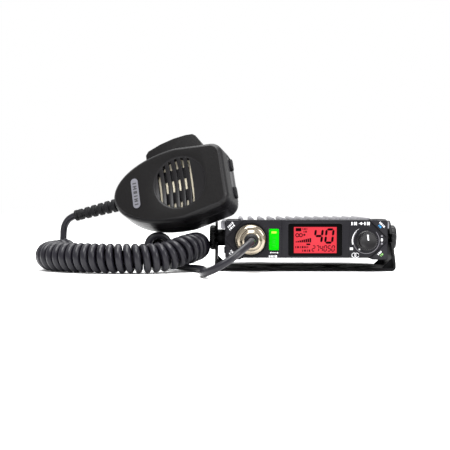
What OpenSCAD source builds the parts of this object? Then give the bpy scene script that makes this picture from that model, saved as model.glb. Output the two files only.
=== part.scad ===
// Mobile transceiver in a U bracket, with a hand microphone on a curly cord.
// +X runs to the right as the user faces the front panel, +Y runs away from the user, +Z is up.
// The origin lies on the standing surface, at the centre of the bracket's hole pattern.

/* [Radio] */
// Width of the front panel
panel_w = 102; // [98:1:110]
// Height of the front panel
panel_h = 25.5; // [25:0.5:28]
// Depth of the radio from the panel's face to the rear panel's face
radio_depth = 100; // [95:1:120]
// Height of the radio's middle above the standing surface
radio_mid_z = 20.5; // [20:0.5:24]
// Distance from the bracket's middle forward to the panel's face
panel_reach = 35; // [32:1:38]
// Depth of the front mouldings
panel_depth = 14; // [12:1:16]
// Length of the two short edges of a corner key
key_leg = 10.4; // [9.5:0.1:10.6]
// Number of cooling fins on the case top
fin_count = 13; // [9:1:13]
// Distance between fins
fin_pitch = 6.8; // [6:0.1:6.8]

/* [Controls] */
// Diameter of the volume knob's skirt
knob_d = 12.6; // [12:0.1:13]
// Height of the volume knob
knob_h = 10; // [9:0.5:12]
// Width of the display window
window_w = 33.8; // [30:0.1:34]
// Height of the display window
window_h = 20.3; // [18:0.1:20.5]
// Diameter of the microphone plug's coupling ring
plug_ring_d = 18.3; // [18:0.1:18.6]

/* [Bracket] */
// Thickness of the bracket's sheet steel
sheet_t = 1.5; // [1.2:0.1:1.6]
// Depth of the bracket's base plate
bracket_depth = 54; // [50:1:60]
// Gap between the radio's side and the bracket's ear
ear_gap = 5.1; // [5:0.1:6]
// Spacing of the base holes across the bracket
hole_spacing_x = 70; // [60:1:80]
// Spacing of the base holes front to back
hole_spacing_y = 30; // [24:1:34]
// Diameter of the base holes
base_hole_d = 4.5; // [4:0.1:5]
// Diameter of a thumb screw's head
thumb_d = 16.4; // [14:0.1:17]

/* [Microphone] */
// Thickness of the microphone without its stud
mic_t = 30; // [28:1:32]
// Depth of the front shell
mic_front_t = 11; // [10:0.5:12]
// Diameter of the grille dish
dish_d = 36; // [33:0.5:37]
// Lean of the microphone's face back from upright, in degrees
mic_tilt = 18; // [17.5:0.5:18.5]
// Turn of the microphone's face towards the cord's side, in degrees
mic_turn = 18; // [17.5:0.5:18.5]
// Rise of the microphone's long axis, in degrees
mic_rise = 14.4; // [14:0.1:15]
// Distance between the up and down buttons
button_spacing = 19.5; // [18:0.1:20]

/* [Cord] */
// Diameter of the cord
cord_d = 4.4; // [4:0.1:4.6]
// Outer diameter of the curly part
coil_d = 18.6; // [18:0.1:18.8]

/* [Hidden] */
$fn = 48;
small_gap = 0.05;
wall = 1.6;
panel_y = -panel_reach;
inner_y = panel_y + panel_depth;
rear_y = panel_y + radio_depth;
half_w = panel_w / 2;
half_h = panel_h / 2;
panel_bottom = radio_mid_z - half_h;
panel_top = radio_mid_z + half_h;
face_t = 3;
seam_left_x = -15.6;
seam_right_x = 27.1;
corner_zone = 9.5;
bottom_step = 1.1;
top_step = 0.6;

mic_plug_x = -34.9;
usb_x = -20.3;
usb_w = 6.2;
usb_h = 13.4;
window_x = seam_left_x + 4.3 + window_w / 2;
window_z = panel_top - 2.8 - window_h / 2;
knob_x = 37.6;
knob_z = radio_mid_z - 0.7;
board_y = panel_y + 9;
board_t = 1.6;
key_inset = 0.7;
key_proud = 0.9;
stem_inset = 3.6;
stem_r = 1.2;
flange_t = 1;
stem_tip_y = panel_y + 7.4;
switch_d = 4.6;

shaft_r = 3;
knob_gap = 0.7;
plunger_y = board_y + 1.65;
encoder_y = panel_y + 4.2;

case_t = 1.5;
case_w = panel_w - 0.6;
case_top_z = panel_top - 4.2;
case_bottom_z = panel_bottom + 0.8;
fin_w = 3.2;
fin_top_z = panel_top + 0.5;
rail_w = 3.6;
rail_h = 5;
rail_z = panel_top - 4;
rear_t = 2;
flange_x = case_w / 2 - case_t - small_gap;
speaker_y = 14;
socket_z = radio_mid_z - 1.5;

antenna_x = -30;
jack_x = -5;
power_x = 24;
jack_r = 1.8;
antenna_r = 7.9;
antenna_neck_r = 7.3;
antenna_step = 0.5;
antenna_len = 10.5;
screw_hole_r = 1.45;
rear_screw_z = 6.4;
side_screw_y = [-14, 54];
side_screw_z = case_bottom_z + 4.5;

ear_x = half_w + ear_gap;
bracket_half_w = ear_x + sheet_t;
bend_r = 3;
ear_r = 11.2;
ear_top_z = radio_mid_z + ear_r;
ear_foot_z = bend_r + 2;
ear_foot_reach = norm([bracket_depth / 2, radio_mid_z - ear_foot_z]);
ear_tangent = acos(ear_r / ear_foot_reach) - atan2(radio_mid_z - ear_foot_z, bracket_depth / 2);
slot_r = 2.75;
screw_r = 2.45;
thumb_t = 3.8;
gusset = 6.5;

mic_origin = [-80.3, panel_y + 12, 56.7];
mic_nose = 46.7;
mic_belly = 25.2;
mic_corner_x = 22.2;
mic_corner_y = 13.8;
mic_corner_r = 8.2;
mic_bevel = 2.2;
mic_wall = 2.2;
dish_r = dish_d / 2;
dish_depth = 3;
dish_curve_r = (dish_r * dish_r + dish_depth * dish_depth) / (2 * dish_depth);
grille_t = 5;
slat_count = 6;
slat_first_x = -13.8;
slat_pitch = 4.25;
slat_slot = 1.9;
ptt_mid_n = 17;
ptt_w = 15;
ptt_pivot = [-20, 16.5];
ptt_pin_r = 1.1;
mic_screw_places = [[-30, 0], [14, 12], [14, -12]];
button_lift = 0.7;
end_x = 29.4;
end_mid_y = 0.8;
end_half_w = 14.2;
end_z_low = -24.5;
end_z_high = -12;
button_n = 18.5;
relief_r1 = 4.4;
relief_r2 = 3.7;
relief_len = 37;
relief_x = -mic_nose + 0.5;
relief_y = 0.8;
relief_z = -12.5;

coil_r = coil_d / 2;
cord_r = cord_d / 2;
coil_sides = 12;
cord_sides = 8;

// Centre line of the curly part, from the microphone's end round to the plug's end
coil_route = [
    [-154, 2, 10.5], [-161, -6, 10], [-164.5, -17, 9.5], [-160, -29, 9.5], [-150, -37.5, 9.5],
    [-138, -44, 9.5], [-125, -48.5, 9.5], [-112, -50, 9.5], [-99, -48.5, 9.5], [-87, -44, 10.5],
    [-77.5, -36.5, 13.8], [-71.5, -26, 15.2], [-70, -13, 15.2], [-72.5, 0, 13.5], [-78.5, 8, 10.6],
    [-86, 10.5, 9.6], [-93, 4, 11.5], [-95, -7, 14.8], [-94, -19, 15.6]
];
// Centre line of the straight tail, from the strain relief down to the coil
tail_route = [
    [-150, 6.1, 35.3], [-153.8, 7.1, 34.2], [-157.4, 8.3, 31.7], [-159.9, 8.9, 27], [-160.4, 8.6, 21],
    [-160.3, 7.7, 16], [-159.6, 6.9, 11]
];
// Centre line of the straight lead, from the coil's end to the plug's boot
lead_route = [
    [-94, -19.5, 8.5], [-89, -22.5, 6.4], [-82, -26, 3.4], [-75, -30, 2.3], [-69, -36, 2.3],
    [-65.5, -44, 2.3], [-64, -54, 2.3], [-63.8, -66, 2.3], [-63.4, -78, 2.5], [-61.5, -87, 4],
    [-56.5, -92.5, 7], [-50, -93, 11], [-43.5, -89, 15.2], [-38.5, -82, 18.5], [-35.6, -75, 20.2],
    [-34.9, -69, 20.5], [-34.9, -63.5, 20.5]
];

// ---------- shared shapes ----------

// Extrudes a flat XZ outline from y_front backwards by depth
module slab_y(y_front, depth) {
    translate([0, y_front + depth, 0]) rotate([90, 0, 0]) linear_extrude(depth) children();
}

module rod_y(x, z, y_front, depth, r) {
    translate([x, y_front, z]) rotate([-90, 0, 0]) cylinder(h = depth, r = r);
}

// Rod along X on side sx, between two distances from the middle
module side_rod(sx, x_in, x_out, y, z, r) {
    translate([sx > 0 ? x_in : -x_out, y, z]) rotate([0, 90, 0]) cylinder(h = x_out - x_in, r = r);
}

// A turned shape whose axis runs along +Y from the point given
module turned_y(x, y, z) {
    translate([x, y, z]) rotate([-90, 0, 0]) rotate_extrude() children();
}

module round_rect(w, h, r) {
    square([w - 2 * r, h], center = true);
    square([w, h - 2 * r], center = true);
    for (sx = [-1, 1], sy = [-1, 1])
        translate([sx * (w / 2 - r), sy * (h / 2 - r)]) circle(r = r);
}

module box_between(low, high) {
    translate(low) cube(high - low);
}

// ---------- front panel ----------

// Whole panel outline: corner zones stand full height, the middle is cut back by small steps
module panel_outline() {
    step_x = half_w - corner_zone;
    difference() {
        translate([0, radio_mid_z]) round_rect(panel_w, panel_h, 2);
        polygon([
            [-step_x, panel_bottom - 1],
            [-step_x, panel_bottom],
            [-step_x + bottom_step, panel_bottom + bottom_step],
            [step_x - bottom_step, panel_bottom + bottom_step],
            [step_x, panel_bottom],
            [step_x, panel_bottom - 1]
        ]);
        polygon([
            [-step_x, panel_top + 1],
            [-step_x, panel_top],
            [-step_x + top_step, panel_top - top_step],
            [step_x - top_step, panel_top - top_step],
            [step_x, panel_top],
            [step_x, panel_top + 1]
        ]);
    }
}

// One hollow front moulding between two heights of x
module panel_section(x_low, x_high) {
    difference() {
        slab_y(panel_y, panel_depth) intersection() {
            panel_outline();
            translate([x_low, panel_bottom - 1]) square([x_high - x_low, panel_h + 2]);
        }
        box_between(
            [max(x_low - 1, -half_w + wall), panel_y + face_t, panel_bottom + bottom_step + wall],
            [min(x_high + 1, half_w - wall), inner_y + 1, panel_top - top_step - wall]
        );
    }
}

// Right-angled triangle of a corner key, side sx (-1 left), sz (-1 bottom), grown by grow
module key_triangle(sx, sz, grow) {
    x0 = half_w - key_inset + grow;
    z0 = half_h - key_inset + grow;
    leg = key_leg + 3.4 * grow;
    polygon([
        [sx * x0, radio_mid_z + sz * z0],
        [sx * (x0 - leg), radio_mid_z + sz * z0],
        [sx * x0, radio_mid_z + sz * (z0 - leg)]
    ]);
}

module key_aperture(sx, sz) {
    slab_y(panel_y - 1, face_t + 2) key_triangle(sx, sz, 0.2);
    slab_y(panel_y + face_t - 0.9, panel_depth) intersection() {
        key_triangle(sx, sz, 0.55);
        translate([0, radio_mid_z]) square([panel_w - 0.9, panel_h - 0.9], center = true);
    }
}

module panel_left() color([0.2, 0.19, 0.22]) difference() {
    panel_section(-half_w, seam_left_x - small_gap);
    rod_y(mic_plug_x, radio_mid_z, panel_y - 1, 2.2, 10.4);
    rod_y(mic_plug_x, radio_mid_z, panel_y - 1, panel_depth, 7.7);
    box_between([usb_x - usb_w / 2 - 0.15, panel_y - 1, radio_mid_z - usb_h / 2 - 0.15],
        [usb_x + usb_w / 2 + 0.15, panel_y + panel_depth, radio_mid_z + usb_h / 2 + 0.15]);
    for (sz = [-1, 1]) key_aperture(-1, sz);
}

module display_frame() color([0.12, 0.12, 0.13]) difference() {
    panel_section(seam_left_x + small_gap, seam_right_x - small_gap);
    slab_y(panel_y - 1, panel_depth) translate([window_x, window_z]) round_rect(window_w, window_h, 1.2);
}

module panel_right() color([0.2, 0.19, 0.22]) difference() {
    panel_section(seam_right_x + small_gap, half_w);
    rod_y(knob_x, knob_z, panel_y - 1, panel_depth, shaft_r + 0.6);
    for (sz = [-1, 1]) key_aperture(1, sz);
}

module lcd_lens() color([0.02, 0.02, 0.02]) {
    slab_y(panel_y + 0.3, 1.2)
        translate([window_x, window_z]) round_rect(window_w - 0.1, window_h - 0.1, 1.1);
}

module lcd_glass() color([0.95, 0.25, 0.25]) {
    slab_y(panel_y + 1.6, 1.2)
        translate([window_x, window_z]) square([window_w - 1.4, window_h - 1.4], center = true);
}

module backlight() color("white") {
    slab_y(panel_y + 2.9, 3)
        translate([window_x, window_z]) square([window_w - 1.4, window_h - 1.4], center = true);
    box_between([window_x - 8, panel_y + 5.9, window_z - 3], [window_x + 8, board_y, window_z + 3]);
}

// Middle of a corner key's stem
function key_stem(sx, sz) = [
    sx * (half_w - key_inset - stem_inset),
    radio_mid_z + sz * (half_h - key_inset - stem_inset)
];

module corner_key(sx, sz) color([0.24, 0.23, 0.26]) {
    stem = key_stem(sx, sz);
    slab_y(panel_y - key_proud, face_t + key_proud - 0.6) key_triangle(sx, sz, 0);
    slab_y(panel_y + face_t - 0.7, flange_t) intersection() {
        key_triangle(sx, sz, 0.4);
        translate([0, radio_mid_z]) square([panel_w - 1.3, panel_h - 1.3], center = true);
    }
    rod_y(stem[0], stem[1], panel_y + face_t, stem_tip_y - panel_y - face_t, stem_r);
}

module key_switches() color("black")
    for (sx = [-1, 1], sz = [-1, 1]) {
        stem = key_stem(sx, sz);
        slab_y(board_y - 0.8, 0.8) translate(stem) square(switch_d, center = true);
    }

module front_board() color("darkgreen") difference() {
    slab_y(board_y, board_t)
        translate([0, radio_mid_z + 0.25]) square([panel_w - 4, panel_h - 5.6], center = true);
    rod_y(mic_plug_x, radio_mid_z, board_y - 1, 4, 8.4);
    box_between([usb_x - 4, board_y - 1, radio_mid_z - 8], [usb_x + 4, board_y + 3, radio_mid_z + 8]);
    rod_y(knob_x, knob_z, board_y - 1, 4, shaft_r + 1.2);
}

// ---------- volume knob ----------

module volume_knob() color([0.1, 0.1, 0.1]) {
    base_r = knob_d / 2;
    rib_count = 30;
    difference() {
        turned_y(knob_x, panel_y - knob_gap - knob_h, knob_z) polygon([
            [0, 0.8], [3.2, 0.6], [4.6, 0.1], [5.2, 0], [5.5, 0.4], [5.7, knob_h - 1.6],
            [base_r, knob_h - 1.4], [base_r, knob_h], [0, knob_h]
        ]);
        rod_y(knob_x, knob_z, panel_y - knob_gap - 7, 9, shaft_r + 0.03);
    }
    for (i = [0 : rib_count - 1])
        rotate_about_y(knob_x, knob_z, i * 360 / rib_count)
            rod_y(knob_x + 5.5, knob_z, panel_y - knob_gap - knob_h + 0.7, knob_h - 2.2, 0.4);
}

module rotate_about_y(x, z, angle) {
    translate([x, 0, z]) rotate([0, angle, 0]) translate([-x, 0, -z]) children();
}

module encoder_shaft() color("silver") {
    rod_y(knob_x, knob_z, panel_y - knob_gap - 7, plunger_y - panel_y + knob_gap + 7 - 0.6, shaft_r);
}

module encoder_plunger() color("black") {
    rod_y(knob_x, knob_z, plunger_y - 0.5, 1.4, shaft_r - 0.6);
}

module encoder_body() color("silver") difference() {
    union() {
        rod_y(knob_x, knob_z, encoder_y - 0.9, board_y - encoder_y + 0.9, 4.2);
        box_between([knob_x - 6, board_y + 1.6, knob_z - 6], [knob_x + 6, board_y + 4.6, knob_z + 6]);
        rod_y(knob_x, knob_z, board_y, 1.7, 4.15);
    }
    rod_y(knob_x, knob_z, panel_y, board_y - panel_y + 3.6, shaft_r + 0.06);
}

// ---------- microphone socket and plug ----------

module mic_socket() color("silver") difference() {
    union() {
        rod_y(mic_plug_x, radio_mid_z, panel_y - 5.5, 15.5, 7.6);
        rod_y(mic_plug_x, radio_mid_z, panel_y + 1.2 - 0.9, 0.9, 9.4);
        rod_y(mic_plug_x, radio_mid_z, panel_y + face_t + small_gap, 2, 9);
    }
    rod_y(mic_plug_x, radio_mid_z, panel_y - 6, 20, 6.6);
}

module socket_insulator() color("tan") {
    rod_y(mic_plug_x, radio_mid_z, panel_y + 1, 6, 6.6);
    for (i = [0 : 3])
        rotate_about_y(mic_plug_x, radio_mid_z, 45 + i * 90)
            rod_y(mic_plug_x + 3.2, radio_mid_z, panel_y - 3.5, 13, 0.8);
}

module plug_ring() color([0.85, 0.83, 0.78]) {
    r = plug_ring_d / 2;
    turned_y(mic_plug_x, panel_y - 12, radio_mid_z) polygon([
        [6.9, 0], [8, 0], [8.6, 0.6], [8.6, 2.6], [r, 3.2], [r, 11], [r - 0.5, 11.6],
        [7.9, 11.6], [7.9, 2.4], [6.9, 2.4]
    ]);
}

module plug_shell() color([0.85, 0.83, 0.78]) {
    turned_y(mic_plug_x, panel_y - 22, radio_mid_z) polygon([
        [3.2, 0], [5.2, 0], [5.7, 0.6], [5.7, 5], [6.5, 6], [6.5, 12.6], [7.4, 12.6], [7.4, 16.2],
        [6.3, 16.2], [6.3, 17.8], [0, 17.8], [0, 16], [3.2, 16]
    ]);
}

module plug_boot() color([0.1, 0.1, 0.1]) difference() {
    turned_y(mic_plug_x, panel_y - 30, radio_mid_z) polygon([
        [0, 0], [2.9, 0], [3.6, 1], [4.4, 7.9], [3.15, 8], [3.15, 20], [0, 20]
    ]);
    rod_y(mic_plug_x, radio_mid_z, panel_y - 31, 4, cord_r + 0.1);
}

// ---------- charging socket and its flap ----------

module usb_socket() color("silver") difference() {
    box_between([usb_x - 3.4, panel_y + face_t + small_gap, radio_mid_z - 6.95],
        [usb_x + 3.4, panel_y + panel_depth + 4, radio_mid_z + 6.95]);
    box_between([usb_x - 2.6, panel_y, radio_mid_z - 6.3],
        [usb_x + 2.6, panel_y + panel_depth + 3, radio_mid_z + 6.3]);
}

module usb_flap() color([0, 0.86, 0]) {
    slab_y(panel_y - 0.7, 3.2) translate([usb_x, radio_mid_z]) round_rect(usb_w, usb_h, 0.9);
    box_between([usb_x - 2.2, panel_y + 2.4, radio_mid_z - 5.8],
        [usb_x + 2.2, panel_y + 7.5, radio_mid_z + 5.8]);
}

// ---------- case ----------

module case_top() color([0.62, 0.62, 0.63]) difference() {
    slab_y(inner_y + small_gap, rear_y - rear_t - inner_y - 2 * small_gap) {
        difference() {
            translate([-case_w / 2, case_bottom_z]) square([case_w, case_top_z - case_bottom_z]);
            translate([-case_w / 2 + case_t, case_bottom_z - 1])
                square([case_w - 2 * case_t, case_top_z - case_bottom_z + 1 - case_t]);
        }
        for (i = [0 : fin_count - 1])
            translate([(i - (fin_count - 1) / 2) * fin_pitch, 0]) {
                translate([-fin_w / 2, case_top_z - 0.5])
                    square([fin_w, fin_top_z - case_top_z + 0.5 - fin_w / 2]);
                translate([0, fin_top_z - fin_w / 2]) circle(r = fin_w / 2);
            }
        for (sx = [-1, 1])
            translate([sx * (half_w - 0.3 + rail_w / 2 - 0.3), rail_z]) round_rect(rail_w, rail_h, 1.2);
    }
    for (sx = [-1, 1]) {
        side_rod(sx, half_w - 4, half_w + 1, 0, radio_mid_z, screw_r + small_gap);
        for (y = side_screw_y) side_rod(sx, half_w - 4, half_w + 1, y, side_screw_z, screw_hole_r);
    }
}

module bottom_cover() color([0.15, 0.15, 0.15]) difference() {
    union() {
        box_between([-case_w / 2 + case_t + small_gap, inner_y + small_gap, case_bottom_z],
            [case_w / 2 - case_t - small_gap, rear_y - rear_t - small_gap, case_bottom_z + 1]);
        for (sx = [-1, 1]) {
            side_rod(sx, flange_x - 3, flange_x, 0, radio_mid_z, 5.5);
            box_between([sx * (flange_x - 1) - 1, inner_y + 4, case_bottom_z],
                [sx * (flange_x - 1) + 1, rear_y - rear_t - 4, radio_mid_z + 4]);
        }
    }
    for (i = [-4 : 4])
        box_between([-15, speaker_y + i * 4 - 0.9, case_bottom_z - 1],
            [15, speaker_y + i * 4 + 0.9, case_bottom_z + 2]);
    for (sx = [-1, 1]) {
        side_rod(sx, flange_x - 6, half_w, 0, radio_mid_z, screw_r + small_gap);
        for (y = side_screw_y) side_rod(sx, flange_x - 6, half_w, y, side_screw_z, screw_hole_r);
    }
}

module rear_panel() color([0.15, 0.15, 0.15]) difference() {
    slab_y(rear_y - rear_t, rear_t) translate([0, (case_top_z + case_bottom_z) / 2])
        round_rect(case_w, case_top_z - case_bottom_z, 1.5);
    rod_y(antenna_x, socket_z, rear_y - 5, 10, antenna_neck_r + 0.1);
    rod_y(jack_x, socket_z, rear_y - 5, 10, 3.1);
    box_between([power_x - 8.1, rear_y - 5, socket_z - 5.1], [power_x + 8.1, rear_y + 1, socket_z + 5.1]);
    for (sx = [-1, 1], sz = [-1, 1])
        rod_y(sx * (case_w / 2 - 4), socket_z - 0.9 + sz * rear_screw_z, rear_y - 5, 6, screw_hole_r);
}

module main_board() color("darkgreen") difference() {
    box_between([-45.5, inner_y + 1, radio_mid_z - 3], [45.5, rear_y - rear_t - 2, radio_mid_z - 1.4]);
    box_between([-19, -8, radio_mid_z - 4], [19, 36, radio_mid_z]);
    box_between([antenna_x - 9, rear_y - 14, radio_mid_z - 4], [antenna_x + 9, rear_y, radio_mid_z]);
    box_between([jack_x - 5, rear_y - 15, radio_mid_z - 4], [power_x + 9, rear_y, radio_mid_z]);
    box_between([usb_x - 5, inner_y, radio_mid_z - 4], [usb_x + 5, inner_y + 6, radio_mid_z]);
}

module board_parts() color("dimgray") {
    top = radio_mid_z - 1.4;
    for (i = [0 : 4]) translate([-38 + i * 5.2, -6, top]) cylinder(h = 6, r = 2.2);
    for (i = [0 : 3]) box_between([26 + i * 4.6, -14, top], [29.4 + i * 4.6, -10, top + 5]);
    box_between([24, 2, top], [38, 16, top + 1.6]);
    box_between([26, 24, top], [40, 32, top + 4]);
    box_between([-40, 20, top], [-24, 30, top + 5]);
}

module speaker() color([0.2, 0.2, 0.2]) {
    translate([0, speaker_y, case_bottom_z + 1]) cylinder(h = 2, r = 18);
    translate([0, speaker_y, case_bottom_z + 3]) cylinder(h = 4, r1 = 16, r2 = 9);
    translate([0, speaker_y, case_bottom_z + 7]) cylinder(h = 3, r = 9);
}

module antenna_socket() color("silver") difference() {
    union() {
        rod_y(antenna_x, socket_z, rear_y - 8, 8 + antenna_step, antenna_neck_r);
        rod_y(antenna_x, socket_z, rear_y + antenna_step, antenna_len, antenna_r);
        rod_y(antenna_x, socket_z, rear_y - rear_t - 1.5, 1.5, 8.4);
    }
    rod_y(antenna_x, socket_z, rear_y + 1.5, antenna_len, 5.6);
    rod_y(antenna_x, socket_z, rear_y - 9, 12, 2);
}

module power_socket() color([0.9, 0.9, 0.88]) {
    difference() {
        box_between([power_x - 8, rear_y - 12, socket_z - 5],
            [power_x + 8, rear_y + 0.8, socket_z + 5]);
        box_between([power_x - 6.6, rear_y - 9.5, socket_z - 3.6],
            [power_x + 6.6, rear_y + 2, socket_z + 3.6]);
    }
    for (sx = [-1, 1])
        rod_y(power_x + sx * 3.6, socket_z, rear_y - 10, 8, 1);
}

module speaker_jack() color("black") difference() {
    union() {
        rod_y(jack_x, socket_z, rear_y - 3, 4, 3);
        box_between([jack_x - 4, rear_y - 14, radio_mid_z - 5.5],
            [jack_x + 4, rear_y - rear_t, radio_mid_z + 2.5]);
    }
    rod_y(jack_x, socket_z, rear_y - 13, 15, jack_r);
}

module case_screws() color([0.1, 0.1, 0.1]) {
    shank_r = screw_hole_r - small_gap;
    for (sx = [-1, 1], sz = [-1, 1]) {
        rod_y(sx * (case_w / 2 - 4), socket_z - 0.9 + sz * rear_screw_z, rear_y, 1.4, 2.2);
        rod_y(sx * (case_w / 2 - 4), socket_z - 0.9 + sz * rear_screw_z, rear_y - 6, 6.5, shank_r);
    }
    for (sx = [-1, 1], y = side_screw_y) {
        side_rod(sx, case_w / 2, case_w / 2 + 1.2, y, side_screw_z, 2.4);
        side_rod(sx, case_w / 2 - 5, case_w / 2 + 0.5, y, side_screw_z, shank_r);
    }
}

// ---------- bracket ----------

module bracket_profile() {
    translate([-bracket_half_w + bend_r, 0]) square([2 * (bracket_half_w - bend_r), sheet_t]);
    for (sx = [-1, 1]) {
        translate([sx * (bracket_half_w - sheet_t / 2) - sheet_t / 2, bend_r])
            square([sheet_t, ear_top_z - bend_r]);
        intersection() {
            translate([sx * (bracket_half_w - bend_r), bend_r]) difference() {
                circle(r = bend_r);
                circle(r = bend_r - sheet_t);
            }
            translate([sx * (bracket_half_w - bend_r / 2) - bend_r / 2, 0]) square(bend_r);
        }
    }
}

// Side view of one ear: a round head about the pivot on a foot that widens to the base plate
module ear_side() {
    head_y = ear_r * cos(ear_tangent);
    head_z = radio_mid_z + ear_r * sin(ear_tangent);
    translate([0, radio_mid_z]) circle(r = ear_r);
    polygon([
        [-bracket_depth / 2, ear_foot_z], [-head_y, head_z],
        [head_y, head_z], [bracket_depth / 2, ear_foot_z]
    ]);
}

// Side view of what is cut from the folded sheet above the ears' feet
module ear_cut() difference() {
    translate([-bracket_depth, ear_foot_z]) square([2 * bracket_depth, ear_top_z]);
    ear_side();
}

module bracket() color([0.08, 0.08, 0.08]) {
    difference() {
        slab_y(-bracket_depth / 2, bracket_depth) bracket_profile();
        translate([-bracket_half_w - 1, 0, 0])
            rotate([90, 0, 90]) linear_extrude(2 * bracket_half_w + 2) ear_cut();
        for (sx = [-1, 1]) {
            side_rod(sx, ear_x - 1, bracket_half_w + 1, 0, radio_mid_z, slot_r);
            box_between([sx * (ear_x + sheet_t / 2) - 2, -bracket_depth, radio_mid_z - slot_r],
                [sx * (ear_x + sheet_t / 2) + 2, 0, radio_mid_z + slot_r]);
        }
        for (sx = [-1, 1], sy = [-1, 1])
            translate([sx * hole_spacing_x / 2, sy * hole_spacing_y / 2, -1])
                cylinder(h = sheet_t + 2, d = base_hole_d);
        for (sx = [-1, 1])
            translate([sx * (hole_spacing_x / 2 - 16), 0, -1])
                cylinder(h = sheet_t + 2, d = base_hole_d + 8);
    }
    for (sx = [-1, 1], y = [-18, 18])
        translate([0, y + 1.5, 0]) rotate([90, 0, 0]) linear_extrude(3) polygon([
            [sx * (ear_x + 0.2), sheet_t - 0.2 + gusset], [sx * (ear_x + 0.2), sheet_t - 0.2],
            [sx * (ear_x - gusset), sheet_t - 0.2]
        ]);
}

module rubber_spacers() color([0.05, 0.05, 0.05])
    for (sx = [-1, 1]) difference() {
        side_rod(sx, case_w / 2, ear_x - small_gap, 0, radio_mid_z, 5.5);
        side_rod(sx, half_w - 4, ear_x + 1, 0, radio_mid_z, screw_r + small_gap);
    }

// Thumb screw on side sx, with finger notches round its rim
module thumb_screw(sx) color([0.08, 0.08, 0.08]) {
    head_x = bracket_half_w + small_gap;
    notch_count = 16;
    difference() {
        translate([sx * head_x, 0, radio_mid_z]) rotate([0, sx * 90, 0]) rotate_extrude() polygon([
            [0, 0], [thumb_d / 2 - 0.6, 0], [thumb_d / 2, 0.6], [thumb_d / 2, thumb_t - 1.2],
            [thumb_d / 2 - 1.2, thumb_t], [4.6, thumb_t], [4, thumb_t - 0.8], [0, thumb_t - 0.8]
        ]);
        for (i = [0 : notch_count - 1])
            translate([0, 0, radio_mid_z]) rotate([i * 360 / notch_count, 0, 0])
                side_rod(sx, head_x - 1, head_x + thumb_t + 1, thumb_d / 2 + 0.5, 0, 0.8);
    }
    side_rod(sx, half_w - 5, head_x + 0.5, 0, radio_mid_z, screw_r);
}

// ---------- microphone ----------
// Own frame: x along its length towards the button end, y across towards the talk key,
// z out of the face; z = 0 is the face and -mic_t is the back.

module place_mic() {
    translate(mic_origin) rotate([0, 0, -mic_turn]) rotate([-mic_tilt, 0, 0]) rotate([0, -mic_rise, 0])
        rotate([90, 0, 0]) children();
}

// Egg-shaped outline with a squared button end, grown by grow
module mic_outline(grow) {
    hull() {
        polygon([for (a = [90 : 7.5 : 270]) [(mic_nose + grow) * cos(a), (mic_belly + grow) * sin(a)]]);
        for (sy = [-1, 1])
            translate([mic_corner_x, sy * mic_corner_y]) circle(r = mic_corner_r + grow, $fn = 32);
    }
}

module mic_layer(z, grow) {
    translate([0, 0, z]) linear_extrude(0.01) mic_outline(grow);
}

module ptt_opening() {
    translate([0, 0, -ptt_mid_n - ptt_w / 2 - 0.3]) linear_extrude(ptt_w + 0.6) polygon([
        [-24.6, 13.5], [-24.6, 34], [18.4, 34], [18.4, 13.5]
    ]);
}

module mic_front_shell() color([0.16, 0.16, 0.17]) place_mic() difference() {
    union() {
        mic_front_tray();
        ptt_boss(-ptt_mid_n + ptt_w / 2 + 0.4, 3.4, 6);
    }
    ptt_pin_hole();
}

module mic_front_tray() difference() {
    hull() {
        mic_layer(-0.01, -mic_bevel);
        mic_layer(-2.6, 0);
        mic_layer(-mic_front_t + 0.02, 0.25);
    }
    hull() {
        mic_layer(-grille_t, -mic_bevel - 2 * mic_wall);
        mic_layer(-mic_front_t - 0.1, 0.25 - mic_wall);
    }
    translate([0, 0, dish_curve_r - dish_depth]) sphere(r = dish_curve_r, $fn = 96);
    intersection() {
        translate([0, 0, -8]) cylinder(h = 10, r = dish_r - 1.1);
        for (i = [0 : slat_count - 1])
            translate([slat_first_x + i * slat_pitch, 0, -4])
                cube([slat_slot, dish_d, 10], center = true);
    }
    ptt_opening();
    relief_hole();
}

// Hole for the talk key's pivot pin through both shells
module ptt_pin_hole() {
    translate([ptt_pivot[0], ptt_pivot[1], -ptt_mid_n - ptt_w / 2 - 2.6])
        cylinder(h = ptt_w + 5.2, r = ptt_pin_r + 0.06);
}

// Hole for the root of the strain relief
module relief_hole() {
    translate([relief_x - 3, relief_y, relief_z]) rotate([0, 90, 0]) cylinder(h = 12, r = relief_r1 + 0.05);
}

// Bearing block for one end of the talk key's pivot pin
module ptt_boss(z_low, depth, height) {
    translate([ptt_pivot[0] - 2.5, ptt_pivot[1] - 2.5, z_low]) cube([5, height, depth]);
}

module mic_rear_shell() color([0.1, 0.1, 0.1]) place_mic() difference() {
    union() {
        mic_rear_tray();
        ptt_boss(-ptt_mid_n - ptt_w / 2 - 3.6, 3.2, 4.6);
    }
    ptt_pin_hole();
}

module mic_rear_tray() difference() {
    hull() {
        mic_layer(-mic_front_t - 0.01, 0.25);
        mic_layer(-18, 0.4);
        mic_layer(-mic_t + 5, -0.4);
        mic_layer(-mic_t, -5);
    }
    hull() {
        mic_layer(-mic_front_t + 0.1, 0.25 - mic_wall);
        mic_layer(-18, 0.4 - mic_wall);
        mic_layer(-mic_t + 5, -0.4 - mic_wall);
        mic_layer(-mic_t + 2.4, -3.4 - mic_wall);
    }
    ptt_opening();
    relief_hole();
    box_between([end_x - 0.2, end_mid_y - end_half_w - 0.2, end_z_low - 0.2],
        [end_x + 4, end_mid_y + end_half_w + 0.2, end_z_high + 0.2]);
    for (sy = [-1, 1])
        translate([end_x - 5, end_mid_y + sy * button_spacing / 2, -button_n])
            rotate([0, 90, 0]) cylinder(h = 10, r = 1.7);
    translate([8, 0, -mic_t - 1]) cylinder(h = 6, r = 3.1);
    for (p = mic_screw_places) translate([p[0], p[1], -mic_t - 1]) cylinder(h = 6, r = screw_hole_r);
}

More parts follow.
